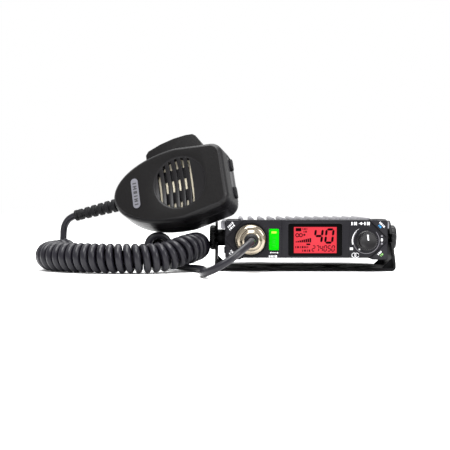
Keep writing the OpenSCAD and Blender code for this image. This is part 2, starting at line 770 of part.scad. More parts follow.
module mic_grille_cloth() color([0.7, 0.68, 0.62]) place_mic() {
    translate([0, 0, -grille_t - 0.9]) cylinder(h = 0.8, r = dish_r - 0.3);
}

module mic_capsule() color("silver") place_mic() {
    translate([0, 0, -grille_t - 6.4]) cylinder(h = 5.4, r = 4.85);
}

module mic_board() color("darkgreen") place_mic() {
    translate([-12, -14, -mic_front_t - 2]) cube([34, 24, 1.5]);
}

module ptt_key() color([0.13, 0.13, 0.14]) place_mic() {
    translate([0, 0, -ptt_mid_n - ptt_w / 2]) linear_extrude(ptt_w) polygon([
        [-23.8, 14.4], [-23.6, 29], [-21.6, 31.4], [-12.6, 34.2], [-3, 35.8], [5.4, 36.1], [10.3, 35.5],
        [12.3, 33.8], [15.2, 27.6], [17, 22.5], [17, 18.6], [-12, 18.6], [-16.5, 14.4]
    ]);
    translate([ptt_pivot[0], ptt_pivot[1], -ptt_mid_n - ptt_w / 2 - 2.4])
        cylinder(h = ptt_w + 4.8, r = ptt_pin_r);
}

module ptt_switch() color("black") place_mic() {
    box_between([0, 9.5, -ptt_mid_n - 4], [12, 13.4, -ptt_mid_n + 3.9]);
    box_between([2, 4, -ptt_mid_n - 3], [10, 9.5, -mic_front_t - 2]);
}

module mic_end_plate() color([0.25, 0.25, 0.27]) place_mic() difference() {
    box_between([end_x, end_mid_y - end_half_w, end_z_low],
        [end_x + 1, end_mid_y + end_half_w, end_z_high]);
    for (sy = [-1, 1])
        translate([end_x - 1, end_mid_y + sy * button_spacing / 2, -button_n])
            rotate([0, 90, 0]) linear_extrude(3) {
                square([4.2, 4.4], center = true);
                for (s = [-1, 1]) translate([0, s * 2.2]) circle(r = 2.1);
            }
}

// Oval button on the microphone's end, side sy
module mic_button(sy) color([0.12, 0.12, 0.12]) place_mic() {
    translate([end_x + button_lift, end_mid_y + sy * button_spacing / 2, -button_n])
        rotate([0, 90, 0]) linear_extrude(1.8) {
            square([3.8, 4.4], center = true);
            for (s = [-1, 1]) translate([0, s * 2.2]) circle(r = 1.9);
        }
    translate([end_x - 5, end_mid_y + sy * button_spacing / 2, -button_n])
        rotate([0, 90, 0]) cylinder(h = 6, r = 1.4);
}

module mic_name_plate() color([0.85, 0.85, 0.87]) place_mic() {
    translate([-30.4, 0, 0]) linear_extrude(0.5) {
        square([4.8, 15.9], center = true);
        for (sy = [-1, 1]) translate([0, sy * 7.95]) circle(r = 2.4);
    }
}

module hangup_stud() color("silver") place_mic() {
    translate([8, 0, -mic_t + 2.6]) mirror([0, 0, 1]) rotate_extrude() polygon([
        [0, 0], [3, 0], [3, 5.6], [6.5, 6.2], [7, 7.2], [6.2, 8.4], [0, 9]
    ]);
}

module mic_screws() color("black") place_mic() {
    for (p = mic_screw_places) translate([p[0], p[1], -mic_t]) {
        translate([0, 0, -1]) cylinder(h = 1, r = 2.3);
        translate([0, 0, -0.5]) cylinder(h = 9, r = screw_hole_r - small_gap);
    }
}

// Tapered ribbed sleeve that holds the cord at the microphone's narrow end
module strain_relief() color([0.1, 0.1, 0.1]) place_mic() {
    rib_count = 6;
    rib_step = 4.9;
    translate([relief_x + 4, relief_y, relief_z]) rotate([0, -90, 0]) difference() {
        union() {
            cylinder(h = 6, r = relief_r1);
            translate([0, 0, 6]) cylinder(h = relief_len - 6, r1 = 3.1, r2 = 2.9);
            for (i = [0 : rib_count - 1])
                translate([0, 0, 7 + i * rib_step]) cylinder(h = 2.6, r = relief_r1 - i * 0.14);
            translate([0, 0, relief_len - 2]) cylinder(h = 2, r = relief_r2);
        }
        translate([0, 0, relief_len - 4]) cylinder(h = 5, r = cord_r + 0.1);
    }
}

// ---------- cord ----------

function unit(v) = v / norm(v);

// Direction of a route at point i
function heading(route, i) = unit(route[min(i + 1, len(route) - 1)] - route[max(i - 1, 0)]);

// Side direction that stays level
function level_side(t) = unit(abs(t[2]) > 0.9 ? cross(t, [0, 1, 0]) : cross(t, [0, 0, 1]));

// Sweeps a round tube along the points of a route
module swept_tube(route, r, sides) {
    count = len(route);
    ring_points = [
        for (i = [0 : count - 1])
            let (t = heading(route, i), s = level_side(t), u = cross(s, t))
                for (k = [0 : sides - 1])
                    route[i] + r * (cos(360 * k / sides) * s + sin(360 * k / sides) * u)
    ];
    side_faces = [
        for (i = [0 : count - 2], k = [0 : sides - 1])
            let (a = i * sides + k, b = i * sides + (k + 1) % sides)
                each [[a, b, b + sides], [a, b + sides, a + sides]]
    ];
    end_faces = [
        [for (k = [sides - 1 : -1 : 0]) k],
        [for (k = [0 : sides - 1]) (count - 1) * sides + k]
    ];
    polyhedron(points = ring_points, faces = concat(side_faces, end_faces), convexity = 8);
}

module cord_tail() color([0.15, 0.15, 0.16]) swept_tube(tail_route, cord_r, cord_sides);

module cord_coil() color([0.15, 0.15, 0.16]) swept_tube(coil_route, coil_r, coil_sides);

module cord_lead() color([0.15, 0.15, 0.16]) swept_tube(lead_route, cord_r, cord_sides);

panel_left();
display_frame();
panel_right();
lcd_lens();
lcd_glass();
backlight();
corner_key(-1, 1);  // key_top_left
corner_key(-1, -1);  // key_bottom_left
corner_key(1, 1);  // key_top_right
corner_key(1, -1);  // key_bottom_right
key_switches();
front_board();
volume_knob();
encoder_shaft();
encoder_plunger();
encoder_body();
mic_socket();
socket_insulator();
plug_ring();
plug_shell();
plug_boot();
usb_socket();
usb_flap();
case_top();
bottom_cover();
rear_panel();
main_board();
board_parts();
speaker();
antenna_socket();
power_socket();
speaker_jack();
case_screws();
bracket();
rubber_spacers();
thumb_screw(-1);  // thumb_screw_left
thumb_screw(1);  // thumb_screw_right
mic_front_shell();
mic_rear_shell();
mic_grille_cloth();
mic_capsule();
mic_board();
ptt_key();
ptt_switch();
mic_end_plate();
mic_button(1);  // mic_up_button
mic_button(-1);  // mic_down_button
mic_name_plate();
hangup_stud();
mic_screws();
strain_relief();
cord_tail();
cord_coil();
cord_lead();
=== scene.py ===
"""Looks of a mobile transceiver in its bracket, with a hand microphone on a curly cord."""
import logging
import math
from collections.abc import Sequence
from dataclasses import dataclass
from enum import Enum

import bmesh
import bpy
from mathutils import Matrix, Vector


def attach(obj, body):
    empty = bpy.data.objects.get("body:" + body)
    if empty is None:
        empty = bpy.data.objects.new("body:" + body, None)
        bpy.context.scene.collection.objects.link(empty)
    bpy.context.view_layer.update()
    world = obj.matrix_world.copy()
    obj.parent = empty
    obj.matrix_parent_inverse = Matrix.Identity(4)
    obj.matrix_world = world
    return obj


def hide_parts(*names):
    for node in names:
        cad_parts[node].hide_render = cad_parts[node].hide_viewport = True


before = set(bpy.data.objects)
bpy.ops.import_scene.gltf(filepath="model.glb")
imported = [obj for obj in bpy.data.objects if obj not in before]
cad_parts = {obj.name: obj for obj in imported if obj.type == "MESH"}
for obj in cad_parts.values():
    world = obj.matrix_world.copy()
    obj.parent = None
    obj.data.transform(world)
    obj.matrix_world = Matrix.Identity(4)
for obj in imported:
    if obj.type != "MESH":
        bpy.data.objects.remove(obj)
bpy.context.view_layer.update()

MM = 0.001
LOG = logging.getLogger("transceiver")
Outline = Sequence[tuple[float, float]]
# How far printed ink stands off its surface, mm.
INK_LIFT = 0.01
# A wall counts as facing out when this share of its normal points against the push.
OUTWARD = 0.3


# ---------------------------------------------------------------- colours and finishes

def linear(hex_colour: str) -> tuple[float, float, float, float]:
    """Turns an sRGB hex colour into linear light.

    Args:
        hex_colour: Six hex digits, such as "2a2a2c".

    Returns:
        Red, green, blue and alpha as Blender's sockets take them.
    """
    parts = [int(hex_colour[i:i + 2], 16) / 255 for i in (0, 2, 4)]
    channels = [p / 12.92 if p <= 0.04045 else ((p + 0.055) / 1.055) ** 2.4 for p in parts]
    return (*channels, 1.0)


def add_node(
    tree: bpy.types.NodeTree,
    kind: str,
    settings: dict[str, object] | None = None,
    values: dict[str | int, object] | None = None,
    links: dict[str | int, bpy.types.NodeSocket] | None = None,
) -> bpy.types.Node:
    """Adds one shader node.

    Args:
        tree: Node tree that the node joins.
        kind: Blender's type name of the node.
        settings: Attributes of the node.
        values: Input sockets and the constants they take.
        links: Input sockets and the output sockets that feed them.

    Returns:
        The new node.
    """
    node = tree.nodes.new(kind)
    for name, value in (settings or {}).items():
        setattr(node, name, value)
    for name, value in (values or {}).items():
        node.inputs[name].default_value = value
    for name, socket in (links or {}).items():
        tree.links.new(socket, node.inputs[name])
    return node


class Grain(Enum):
    """How a surface's fine relief was made, with its stretch along X, Y and Z."""

    MOULDED = (1.0, 1.0, 1.0)
    DRAWN_Y = (1.0, 0.03, 1.0)
    TURNED = (1.0, 0.35, 1.0)


@dataclass(frozen=True)
class Finish:
    """One real surface finish.

    Attributes:
        name: What the surface is and how it was made.
        colour: Main colour, sRGB hex.
        drift: Colour that broad soft patches drift to, sRGB hex.
        roughness: Middle roughness.
        spread: How far the roughness wanders either way.
        grain_mm: Size of the fine relief's grains.
        depth_mm: Height of the fine relief.
        patch_mm: Size of the broad patches.
        metallic: 1 for bare metal, 0 for anything else.
        grain: Direction of the fine relief.
        coat: Weight of a clear glossy skin.
        transmission: Weight of light that passes through.
        specular: Strength of the mirror part of a non-metal; textured black plastics have little.
    """

    name: str
    colour: str
    drift: str
    roughness: float
    spread: float
    grain_mm: float
    depth_mm: float
    patch_mm: float = 15.0
    metallic: float = 0.0
    grain: Grain = Grain.MOULDED
    coat: float = 0.0
    transmission: float = 0.0
    specular: float = 0.5

    def material(self) -> bpy.types.Material:
        """Builds the material once and returns it from then on."""
        known = bpy.data.materials.get(self.name)
        if known is not None:
            return known
        made = bpy.data.materials.new(self.name)
        made.use_nodes = True
        tree = made.node_tree
        tree.nodes.clear()
        place = add_node(tree, "ShaderNodeTexCoord")
        turned = add_node(tree, "ShaderNodeMapping", values={"Scale": self.grain.value},
                          links={"Vector": place.outputs["Object"]})
        patches = add_node(tree, "ShaderNodeTexNoise", values={"Scale": 1000 / self.patch_mm, "Detail": 3.0},
                           links={"Vector": place.outputs["Object"]})
        grains = add_node(tree, "ShaderNodeTexNoise", values={"Scale": 1000 / self.grain_mm, "Detail": 4.0,
                                                              "Roughness": 0.6},
                          links={"Vector": turned.outputs["Vector"]})
        tone = add_node(tree, "ShaderNodeMix", settings={"data_type": "RGBA"},
                        values={6: linear(self.colour), 7: linear(self.drift)},
                        links={"Factor": patches.outputs["Fac"]})
        gloss = add_node(tree, "ShaderNodeMapRange",
                         values={"To Min": max(self.roughness - self.spread, 0.02),
                                 "To Max": min(self.roughness + self.spread, 1.0)},
                         links={"Value": grains.outputs["Fac"]})
        relief = add_node(tree, "ShaderNodeBump", values={"Strength": 1.0, "Distance": self.depth_mm * MM},
                          links={"Height": grains.outputs["Fac"]})
        shader = add_node(tree, "ShaderNodeBsdfPrincipled",
                          values={"Metallic": self.metallic, "Coat Weight": self.coat, "Coat Roughness": 0.08,
                                  "Transmission Weight": self.transmission,
                                  "Specular IOR Level": self.specular},
                          links={"Base Color": tone.outputs[2], "Roughness": gloss.outputs["Result"],
                                 "Normal": relief.outputs["Normal"]})
        add_node(tree, "ShaderNodeOutputMaterial", links={"Surface": shader.outputs["BSDF"]})
        return made


@dataclass(frozen=True)
class Glow:
    """A surface that gives its own light, brighter towards its middle.

    Attributes:
        name: What glows.
        colour: Colour at the middle, sRGB hex.
        rim: Colour at the rim, sRGB hex.
        strength: Brightness.
        centre: Middle of the glow in the row frame, metres.
        reach: Distance at which the rim colour is reached, metres.
        unlit: Colour of the surface itself, sRGB hex.
    """

    name: str
    colour: str
    rim: str
    strength: float
    centre: tuple[float, float, float]
    reach: float
    unlit: str = "1a0508"

    def material(self) -> bpy.types.Material:
        """Builds the glowing material."""
        made = bpy.data.materials.new(self.name)
        made.use_nodes = True
        tree = made.node_tree
        tree.nodes.clear()
        place = add_node(tree, "ShaderNodeTexCoord")
        away = add_node(tree, "ShaderNodeVectorMath", settings={"operation": "DISTANCE"},
                        values={1: self.centre}, links={0: place.outputs["Object"]})
        fade = add_node(tree, "ShaderNodeMapRange", values={"From Max": self.reach},
                        links={"Value": away.outputs["Value"]})
        tone = add_node(tree, "ShaderNodeMix", settings={"data_type": "RGBA"},
                        values={6: linear(self.colour), 7: linear(self.rim)},
                        links={"Factor": fade.outputs["Result"]})
        shader = add_node(tree, "ShaderNodeBsdfPrincipled",
                          values={"Base Color": linear(self.unlit), "Roughness": 0.4,
                                  "Specular IOR Level": 0.15, "Emission Strength": self.strength},
                          links={"Emission Color": tone.outputs[2]})
        add_node(tree, "ShaderNodeOutputMaterial", links={"Surface": shader.outputs["BSDF"]})
        return made


# ABS with a fine eroded mould texture: soft grey-black with a broad sheen.
PANEL_ABS = Finish("moulded_abs_panel", "141318", "0f0e12", 0.44, 0.08, 0.35, 0.02, specular=0.15)
# The same ABS on the keys, a touch lighter where fingers polish it.
KEY_ABS = Finish("moulded_abs_key", "17161b", "121115", 0.4, 0.08, 0.3, 0.015, specular=0.18)
# Cast acrylic: clear, faintly grey, mirror smooth.
ACRYLIC = Finish("cast_acrylic_window", "f4f2f2", "ebe9ea", 0.03, 0.01, 2.0, 0.0004, transmission=1.0)
# Gloss black plate round the lit display.
WINDOW_INK = Finish("gloss_black_window", "020202", "030303", 0.1, 0.03, 0.8, 0.0006, specular=0.03)
# White and coloured pad-printing inks: flat, slightly chalky.
WHITE_INK = Finish("printed_ink_white", "e8e8ea", "dcdce0", 0.5, 0.06, 0.2, 0.002)
BLUE_INK = Finish("printed_ink_blue", "2a97d8", "2389c8", 0.5, 0.06, 0.2, 0.002)
GREEN_INK = Finish("printed_ink_green", "78b25c", "6ca552", 0.5, 0.06, 0.2, 0.002)
GREY_INK = Finish("printed_ink_grey", "6d6b71", "626066", 0.5, 0.06, 0.2, 0.002)
# Liquid-crystal segments: near-black film.
SEGMENT_FILM = Finish("liquid_crystal_segment", "080102", "060101", 0.7, 0.05, 0.3, 0.0005, specular=0.02)
# Moulded knob plastic: black with a dull sheen.
KNOB_ABS = Finish("moulded_abs_knob", "0a090b", "080709", 0.3, 0.06, 0.3, 0.008, specular=0.3)
# Nickel plate on turned brass: warm bright metal with turning marks.
NICKEL = Finish("nickel_plated_brass", "a39a8b", "857b6b", 0.17, 0.08, 0.6, 0.004, metallic=1.0,
                grain=Grain.TURNED)
# Machined steel and zinc plate: cooler and duller.
ZINC = Finish("zinc_plated_steel", "b6b6ba", "a4a4a9", 0.32, 0.1, 0.5, 0.006, metallic=1.0)
# Moulded rubber: dark, soft edge light, very little gloss.
RUBBER = Finish("moulded_rubber", "0d0d0f", "111113", 0.58, 0.08, 0.5, 0.015, specular=0.15)
# Green silicone: saturated and slightly translucent-looking.
GREEN_SILICONE = Finish("green_silicone", "02aa00", "049e02", 0.5, 0.05, 0.6, 0.006, specular=0.03)
PALE_SILICONE = Finish("pale_green_silicone", "9be232", "8bd42c", 0.42, 0.05, 0.6, 0.006, specular=0.15)
# Extruded aluminium, bead-blasted: pale grey with fine drawing lines.
ALUMINIUM = Finish("extruded_aluminium", "848388", "757479", 0.42, 0.1, 0.5, 0.012, metallic=0.85,
                   grain=Grain.DRAWN_Y)
# Powder coat on steel: black with a low orange peel.
POWDER_COAT = Finish("powder_coated_steel", "08080a", "0b0b0d", 0.55, 0.08, 0.9, 0.015, specular=0.12)
# Spark-eroded ABS on the microphone's face: visible speckle.
MIC_ABS = Finish("spark_eroded_abs", "0b0a0a", "080708", 0.46, 0.2, 0.9, 0.11, patch_mm=25, specular=0.12)
# Smooth moulded ABS on the microphone's walls: black with long soft highlights.
MIC_SATIN = Finish("satin_moulded_abs", "080709", "0b0a0c", 0.4, 0.05, 0.8, 0.004, specular=0.2)
# Dark satin plastic at the microphone's end.
GLOSS_GREY = Finish("gloss_moulded_plastic", "1b1a1e", "161519", 0.34, 0.05, 2.0, 0.001, specular=0.25)
# Undyed acoustic cloth behind the slots.
CLOTH = Finish("woven_acoustic_cloth", "d6cebb", "c4bca6", 0.85, 0.08, 0.5, 0.08, specular=0.1)
# Silver foil of the name plate.
FOIL = Finish("silver_foil", "74747b", "68686f", 0.35, 0.08, 0.4, 0.004, metallic=0.5)
# Polyurethane cord sheath: dark grey with a satin bloom.
SHEATH = Finish("polyurethane_sheath", "15141a", "111016", 0.34, 0.08, 0.7, 0.012, patch_mm=20, specular=0.24)
# Black-oxidised screw heads and the thumb screws' glass-filled nylon.
ZINC_BLACK = Finish("black_oxide_steel", "141416", "101012", 0.36, 0.08, 0.5, 0.006, metallic=0.6)
THUMB_NYLON = Finish("glass_filled_nylon", "0e0e11", "0b0b0d", 0.42, 0.1, 0.6, 0.02, specular=0.2)
# Inner parts: board laminate, epoxy, phenolic and nylon.
LAMINATE = Finish("solder_masked_laminate", "0f4a2a", "0c3f23", 0.4, 0.08, 0.8, 0.01)
EPOXY = Finish("moulded_epoxy", "232326", "1b1b1e", 0.5, 0.08, 0.5, 0.01)
PHENOLIC = Finish("phenolic_insulator", "a58b5e", "96794c", 0.5, 0.08, 0.6, 0.01)
NYLON = Finish("moulded_nylon", "e4e3de", "d8d6cf", 0.45, 0.06, 0.6, 0.008)


# ---------------------------------------------------------------- mesh helpers

def from_face(x_mm: float, z_mm: float, y_mm: float, turn_deg: float = 0.0) -> Matrix:
    """Places a flat shape on a surface that faces the user.

    Args:
        x_mm: Place to the right.
        z_mm: Height.
        y_mm: Depth of the shape's back.
        turn_deg: Turn within the surface, anticlockwise as the user sees it.

    Returns:
        Matrix from the flat shape's frame, with its thickness towards the user, to the row frame.
    """
    place = Matrix.Translation((x_mm * MM, y_mm * MM, z_mm * MM))
    return place @ Matrix.Rotation(math.pi / 2, 4, "X") @ Matrix.Rotation(math.radians(turn_deg), 4, "Z")


def plate(width: float, height: float, corner: float, thick: float) -> bmesh.types.BMesh:
    """Makes a flat plate with round corners, centred, standing on its own XY plane.

    Args:
        width: Size along X in mm.
        height: Size along Y in mm.
        corner: Corner radius in mm.
        thick: Thickness along Z in mm.

    Returns:
        The mesh, in metres.
    """
    bm = bmesh.new()
    bmesh.ops.create_grid(bm, x_segments=1, y_segments=1, size=0.5)
    bmesh.ops.scale(bm, vec=(width * MM, height * MM, 1), verts=bm.verts)
    if corner > 0:
        bmesh.ops.bevel(bm, geom=list(bm.verts), offset=corner * MM, segments=6, profile=0.5,
                        affect="VERTICES", material=-1, clamp_overlap=True)
        bmesh.ops.remove_doubles(bm, verts=bm.verts, dist=1e-6)
    thicken(bm, thick)
    return bm


def thicken(bm: bmesh.types.BMesh, thick: float) -> None:
    """Raises every face of a flat mesh into a closed slab.

    Args:
        bm: Flat mesh on its XY plane.
        thick: Height in mm, upwards.
    """
    raised = bmesh.ops.extrude_face_region(bm, geom=list(bm.faces), use_keep_orig=True)["geom"]
    tops = [g for g in raised if isinstance(g, bmesh.types.BMVert)]
    bmesh.ops.translate(bm, vec=(0, 0, thick * MM), verts=tops)
    bmesh.ops.recalc_face_normals(bm, faces=bm.faces)


def lathe(profile: Outline, steps: int = 72) -> bmesh.types.BMesh:
    """Turns a profile about the Y axis.

    Args:
        profile: Points (radius, y) in mm; closed by the axis where the radius is 0, or by its own ends.
        steps: Number of steps round.

    Returns:
        The mesh, in metres, with its axis on the Y axis.
    """
    bm = bmesh.new()
    points = [bm.verts.new((r * MM, y * MM, 0)) for r, y in profile]
    edges = [bm.edges.new(pair) for pair in zip(points, points[1:])]
    bmesh.ops.spin(bm, geom=points + edges, cent=(0, 0, 0), axis=(0, 1, 0), angle=math.tau, steps=steps,
                   use_merge=True)
    bmesh.ops.remove_doubles(bm, verts=bm.verts, dist=1e-6)
    bmesh.ops.recalc_face_normals(bm, faces=bm.faces)
    return bm


def knurl(
    bm: bmesh.types.BMesh, y_range: tuple[float, float], core: float, ridges: int, depth: float
) -> None:
    """Presses straight ridges into a turned shape.

    Args:
        bm: Shape turned about the Y axis.
        y_range: Where the ridges start and end, mm.
        core: Radius inside which nothing changes, mm.
        ridges: Number of ridges round.
        depth: Depth of a groove, mm.
    """
    for vert in bm.verts:
        angle = math.atan2(vert.co.z, vert.co.x)
        radius = math.hypot(vert.co.x, vert.co.z)
        if y_range[0] * MM <= vert.co.y <= y_range[1] * MM and radius > core * MM:
            inward = depth * MM * (0.5 - 0.5 * math.cos(ridges * angle))
            vert.co.x *= (radius - inward) / radius
            vert.co.z *= (radius - inward) / radius


def rounded_copy(node: str, width: float, segments: int = 2, angle_deg: float = 35.0) -> bmesh.types.BMesh:
    """Copies a CAD node's shape and rounds its edges.

    Args:
        node: Name of the CAD node.
        width: Width of the rounding in mm.
        segments: Facets across each rounding.
        angle_deg: Edges sharper than this are rounded.

    Returns:
        The rounded mesh, in metres.
    """
    bm = bmesh.new()
    bm.from_mesh(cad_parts[node].data)
    bmesh.ops.remove_doubles(bm, verts=bm.verts, dist=2e-6)
    bmesh.ops.dissolve_limit(bm, angle_limit=math.radians(1.0), verts=bm.verts, edges=bm.edges,
                             use_dissolve_boundaries=False, delimit=set())
    limit = math.radians(angle_deg)
    sharp = [e for e in bm.edges if len(e.link_faces) == 2 and e.calc_face_angle(0) > limit]
    bmesh.ops.bevel(bm, geom=sharp, offset=width * MM, offset_type="OFFSET", segments=segments, profile=0.5,
                    affect="EDGES", clamp_overlap=True, material=-1)
    return bm


def add_piece(
    name: str,
    bm: bmesh.types.BMesh,
    finish: Finish | Glow,
    body: str,
    place: Matrix | None = None,
    stands_for: Sequence[str] = (),
    smooth_deg: float = 40.0,
) -> bpy.types.Object:
    """Turns a mesh into a finished piece of the object.

    Args:
        name: Name of the piece.
        bm: Its mesh; it is freed.
        finish: Its surface finish.
        body: CAD body that it moves with.
        place: Matrix that takes the mesh to its place.
        stands_for: CAD nodes that it replaces.
        smooth_deg: Edges sharper than this stay crisp.

    Returns:
        The piece.
    """
    if place is not None:
        bmesh.ops.transform(bm, matrix=place, verts=bm.verts)
    for face in bm.faces:
        face.smooth = True
    for edge in bm.edges:
        edge.smooth = len(edge.link_faces) == 2 and edge.calc_face_angle(0) < math.radians(smooth_deg)
    mesh = bpy.data.meshes.new(name)
    bm.to_mesh(mesh)
    bm.free()
    piece = bpy.data.objects.new(name, mesh)
    bpy.context.scene.collection.objects.link(piece)
    mesh.materials.append(finish.material())
    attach(piece, body)
    if stands_for:
        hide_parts(*stands_for)
    LOG.info("piece %s on %s", name, body)
    return piece


def dress(node: str, finish: Finish) -> None:
    """Gives a CAD node that keeps its shape a finish.

    Args:
        node: Name of the CAD node.
        finish: Its surface finish.
    """
    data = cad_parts[node].data
    data.materials.clear()
    data.materials.append(finish.material())


# ---------------------------------------------------------------- studio

@dataclass
class Studio:
    """Camera, floor and lights; sizes in metres."""

    eye: tuple[float, float, float] = (-0.045, -0.635, 0.044)
    target: tuple[float, float, float] = (-0.051, -0.035, 0.0296)
    focal_mm: float = 76.5
    floor_half: float = 3.0

    def build(self) -> None:
        """Makes everything that isn't part of the object."""
        self._camera()
        self._floor()
        self._lights()
        bpy.context.scene.view_settings.view_transform = "Standard"

    def _camera(self) -> None:
        """Places the camera at the user's eye, a little above the case."""
        data = bpy.data.cameras.new("camera")
        data.lens = self.focal_mm
        data.clip_start = 0.01
        camera = bpy.data.objects.new("camera", data)
        camera.location = self.eye
        camera.rotation_euler = (Vector(self.target) - Vector(self.eye)).to_track_quat("-Z", "Y").to_euler()
        bpy.context.scene.collection.objects.link(camera)
        bpy.context.scene.camera = camera

    def _floor(self) -> None:
        """Lays the pale floor under the object."""
        bm = bmesh.new()
        bmesh.ops.create_grid(bm, x_segments=1, y_segments=1, size=self.floor_half)
        mesh = bpy.data.meshes.new("floor")
        bm.to_mesh(mesh)
        bm.free()
        floor = bpy.data.objects.new("floor", mesh)
        bpy.context.scene.collection.objects.link(floor)
        paper = Finish("white_paper_sweep", "ffffff", "fcfcfc", 0.9, 0.03, 4.0, 0.01)
        mesh.materials.append(paper.material())

    def _lights(self) -> None:
        """Hangs three soft boxes and lights the room evenly."""
        # Name, place and edge length in metres, power in watts.
        boxes = (
            ("key_box", (-0.15, -0.4, 1.0), 0.6, 18.0),
            ("fill_box", (0.75, -0.6, 0.55), 0.5, 9.0),
            ("top_box", (0.0, 0.35, 1.1), 0.8, 14.0),
        )
        for name, spot, size, power in boxes:
            data = bpy.data.lights.new(name, "AREA")
            data.size = size
            data.energy = power
            lamp = bpy.data.objects.new(name, data)
            lamp.location = spot
            lamp.rotation_euler = (-Vector(spot)).to_track_quat("-Z", "Y").to_euler()
            bpy.context.scene.collection.objects.link(lamp)
        world = bpy.data.worlds.new("studio_room")
        world.use_nodes = True
        world.node_tree.nodes["Background"].inputs["Color"].default_value = linear("ffffff")
        world.node_tree.nodes["Background"].inputs["Strength"].default_value = 1.0
        bpy.context.scene.world = world


# ---------------------------------------------------------------- cord

def spline_through(points: Sequence[Vector], before: Vector, after: Vector, parts: int) -> list[Vector]:
    """Runs a smooth curve through points.

    Args:
        points: Points that the curve passes.
        before: Point that leads into the first.
        after: Point that follows the last.
        parts: Steps between two points.

    Returns:
        Points along the curve, the first and last among them.
    """
    line = [before, *points, after]
    found: list[Vector] = []
    for a, b, c, d in zip(line, line[1:], line[2:], line[3:]):
        for step in range(parts):
            t = step / parts
            found.append(0.5 * (2 * b + (c - a) * t + (2 * a - 5 * b + 4 * c - d) * t * t
                                + (3 * b - a - 3 * c + d) * t ** 3))
    found.append(points[-1])
    return found


@dataclass
class CurlyCord:
    """The one cord, from the microphone's strain relief to the plug's boot; sizes in mm."""

    diameter: float = 4.6
    coil_diameter: float = 18.6
    turns: int = 43
    steps_per_turn: int = 24
    length_m: float = 2.08
    tail_route: tuple[tuple[float, float, float], ...] = (
        (-150, 6.1, 35.3), (-153.8, 7.1, 34.2), (-157.4, 8.3, 31.7), (-159.9, 8.9, 27), (-160.4, 8.6, 21),
        (-160.3, 7.7, 16))
    coil_route: tuple[tuple[float, float, float], ...] = (
        (-154, 2, 10.5), (-161, -6, 10), (-164.5, -17, 9.5), (-160, -29, 9.5), (-150, -37.5, 9.5),
        (-138, -44, 9.5), (-125, -48.5, 9.5), (-112, -50, 9.5), (-99, -48.5, 9.5), (-87, -44, 10.5),
        (-77.5, -36.5, 13.8), (-71.5, -26, 15.2), (-70, -13, 15.2), (-72.5, 0, 13.5), (-78.5, 8, 10.6),
        (-86, 10.5, 9.6), (-93, 4, 11.5), (-95, -7, 14.8), (-94, -19, 15.6))
    lead_route: tuple[tuple[float, float, float], ...] = (
        (-89, -22.5, 6.4), (-82, -26, 3.6), (-75, -30, 2.5), (-69, -36, 2.45),
        (-65.5, -44, 2.45), (-64, -54, 2.45), (-63.8, -66, 2.45), (-63.4, -78, 2.6), (-61.5, -87, 3.4),
        (-56.5, -92, 5.8), (-50, -92.3, 9.6), (-43.5, -89, 14.1), (-38.5, -82, 18.0), (-35.6, -75, 20.1),
        (-34.9, -69, 20.5), (-34.9, -63.5, 20.5))
    exit_mm: tuple[float, float, float] = (-151.6, 6.5, 34.9)
    start_side: tuple[float, float, float] = (-0.75, 0.66, 0)
    end_side: tuple[float, float, float] = (0, 0, -1)

    def helix(self) -> list[Vector]:
        """Winds the curly part round its centre line and returns its points in mm."""
        knots = [Vector(p) for p in self.coil_route]
        line = spline_through(knots, 2 * knots[0] - knots[1], 2 * knots[-1] - knots[-2], 12)
        ways = [(b - a).normalized() for a, b in zip(line, line[1:])]
        ways.append(ways[-1])
        runs = [0.0]
        for a, b in zip(line, line[1:]):
            runs.append(runs[-1] + (b - a).length)
        side = Vector(self.start_side)
        sides = []
        for way in ways:
            side = (side - side.dot(way) * way).normalized()
            sides.append(side)
        last = Vector(self.end_side)
        last = (last - last.dot(ways[-1]) * ways[-1]).normalized()
        rest_angle = math.atan2(last.dot(ways[-1].cross(sides[-1])), last.dot(sides[-1])) % math.tau
        whole = self.turns * math.tau + rest_angle
        radius = (self.coil_diameter - self.diameter) / 2
        count = round(whole / math.tau * self.steps_per_turn)
        found = []
        place = 0
        for i in range(count + 1):
            run = runs[-1] * i / count
            while place < len(runs) - 2 and runs[place + 1] < run:
                place += 1
            share = (run - runs[place]) / (runs[place + 1] - runs[place])
            centre = line[place].lerp(line[place + 1], share)
            way = ways[place].lerp(ways[place + 1], share).normalized()
            level = sides[place].lerp(sides[place + 1], share)
            level = (level - level.dot(way) * way).normalized()
            angle = whole * i / count
            found.append(centre + radius * (math.cos(angle) * level + math.sin(angle) * way.cross(level)))
        return found

    def centre_line(self) -> list[Vector]:
        """Joins tail, helix and lead into one line and returns its points in mm."""
        helix = self.helix()
        tail = [Vector(p) for p in self.tail_route] + [helix[0]]
        lead = [helix[-1]] + [Vector(p) for p in self.lead_route]
        tail_line = spline_through(tail, 2 * tail[0] - tail[1], helix[1 + self.steps_per_turn // 8], 6)
        lead_line = spline_through(lead, helix[-2 - self.steps_per_turn // 8], 2 * lead[-1] - lead[-2], 6)
        return tail_line[:-1] + helix + lead_line[1:]

    def build(self, on_cord: Sequence[bpy.types.Object]) -> None:
        """Args:
            on_cord: Pieces that sit on the cord, such as its plug; not used.
        """
        line = self.centre_line()
        curve = bpy.data.curves.new("curly_cord", "CURVE")
        curve.dimensions = "3D"
        curve.bevel_depth = self.diameter / 2 * MM
        curve.bevel_resolution = 4
        curve.use_fill_caps = True
        spline = curve.splines.new("POLY")
        spline.points.add(len(line) - 1)
        for point, place in zip(spline.points, line):
            point.co = (*(place * MM), 1)
        spline.use_smooth = True
        curve.materials.append(SHEATH.material())
        cord = bpy.data.objects.new("curly_cord", curve)
        bpy.context.scene.collection.objects.link(cord)
        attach(cord, "radio")
        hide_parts("cord_tail", "cord_coil", "cord_lead")
        run = sum((b - a).length for a, b in zip(line, line[1:])) * MM
        LOG.info("curly_cord is %.3f m long", run)


# ---------------------------------------------------------------- printed marks

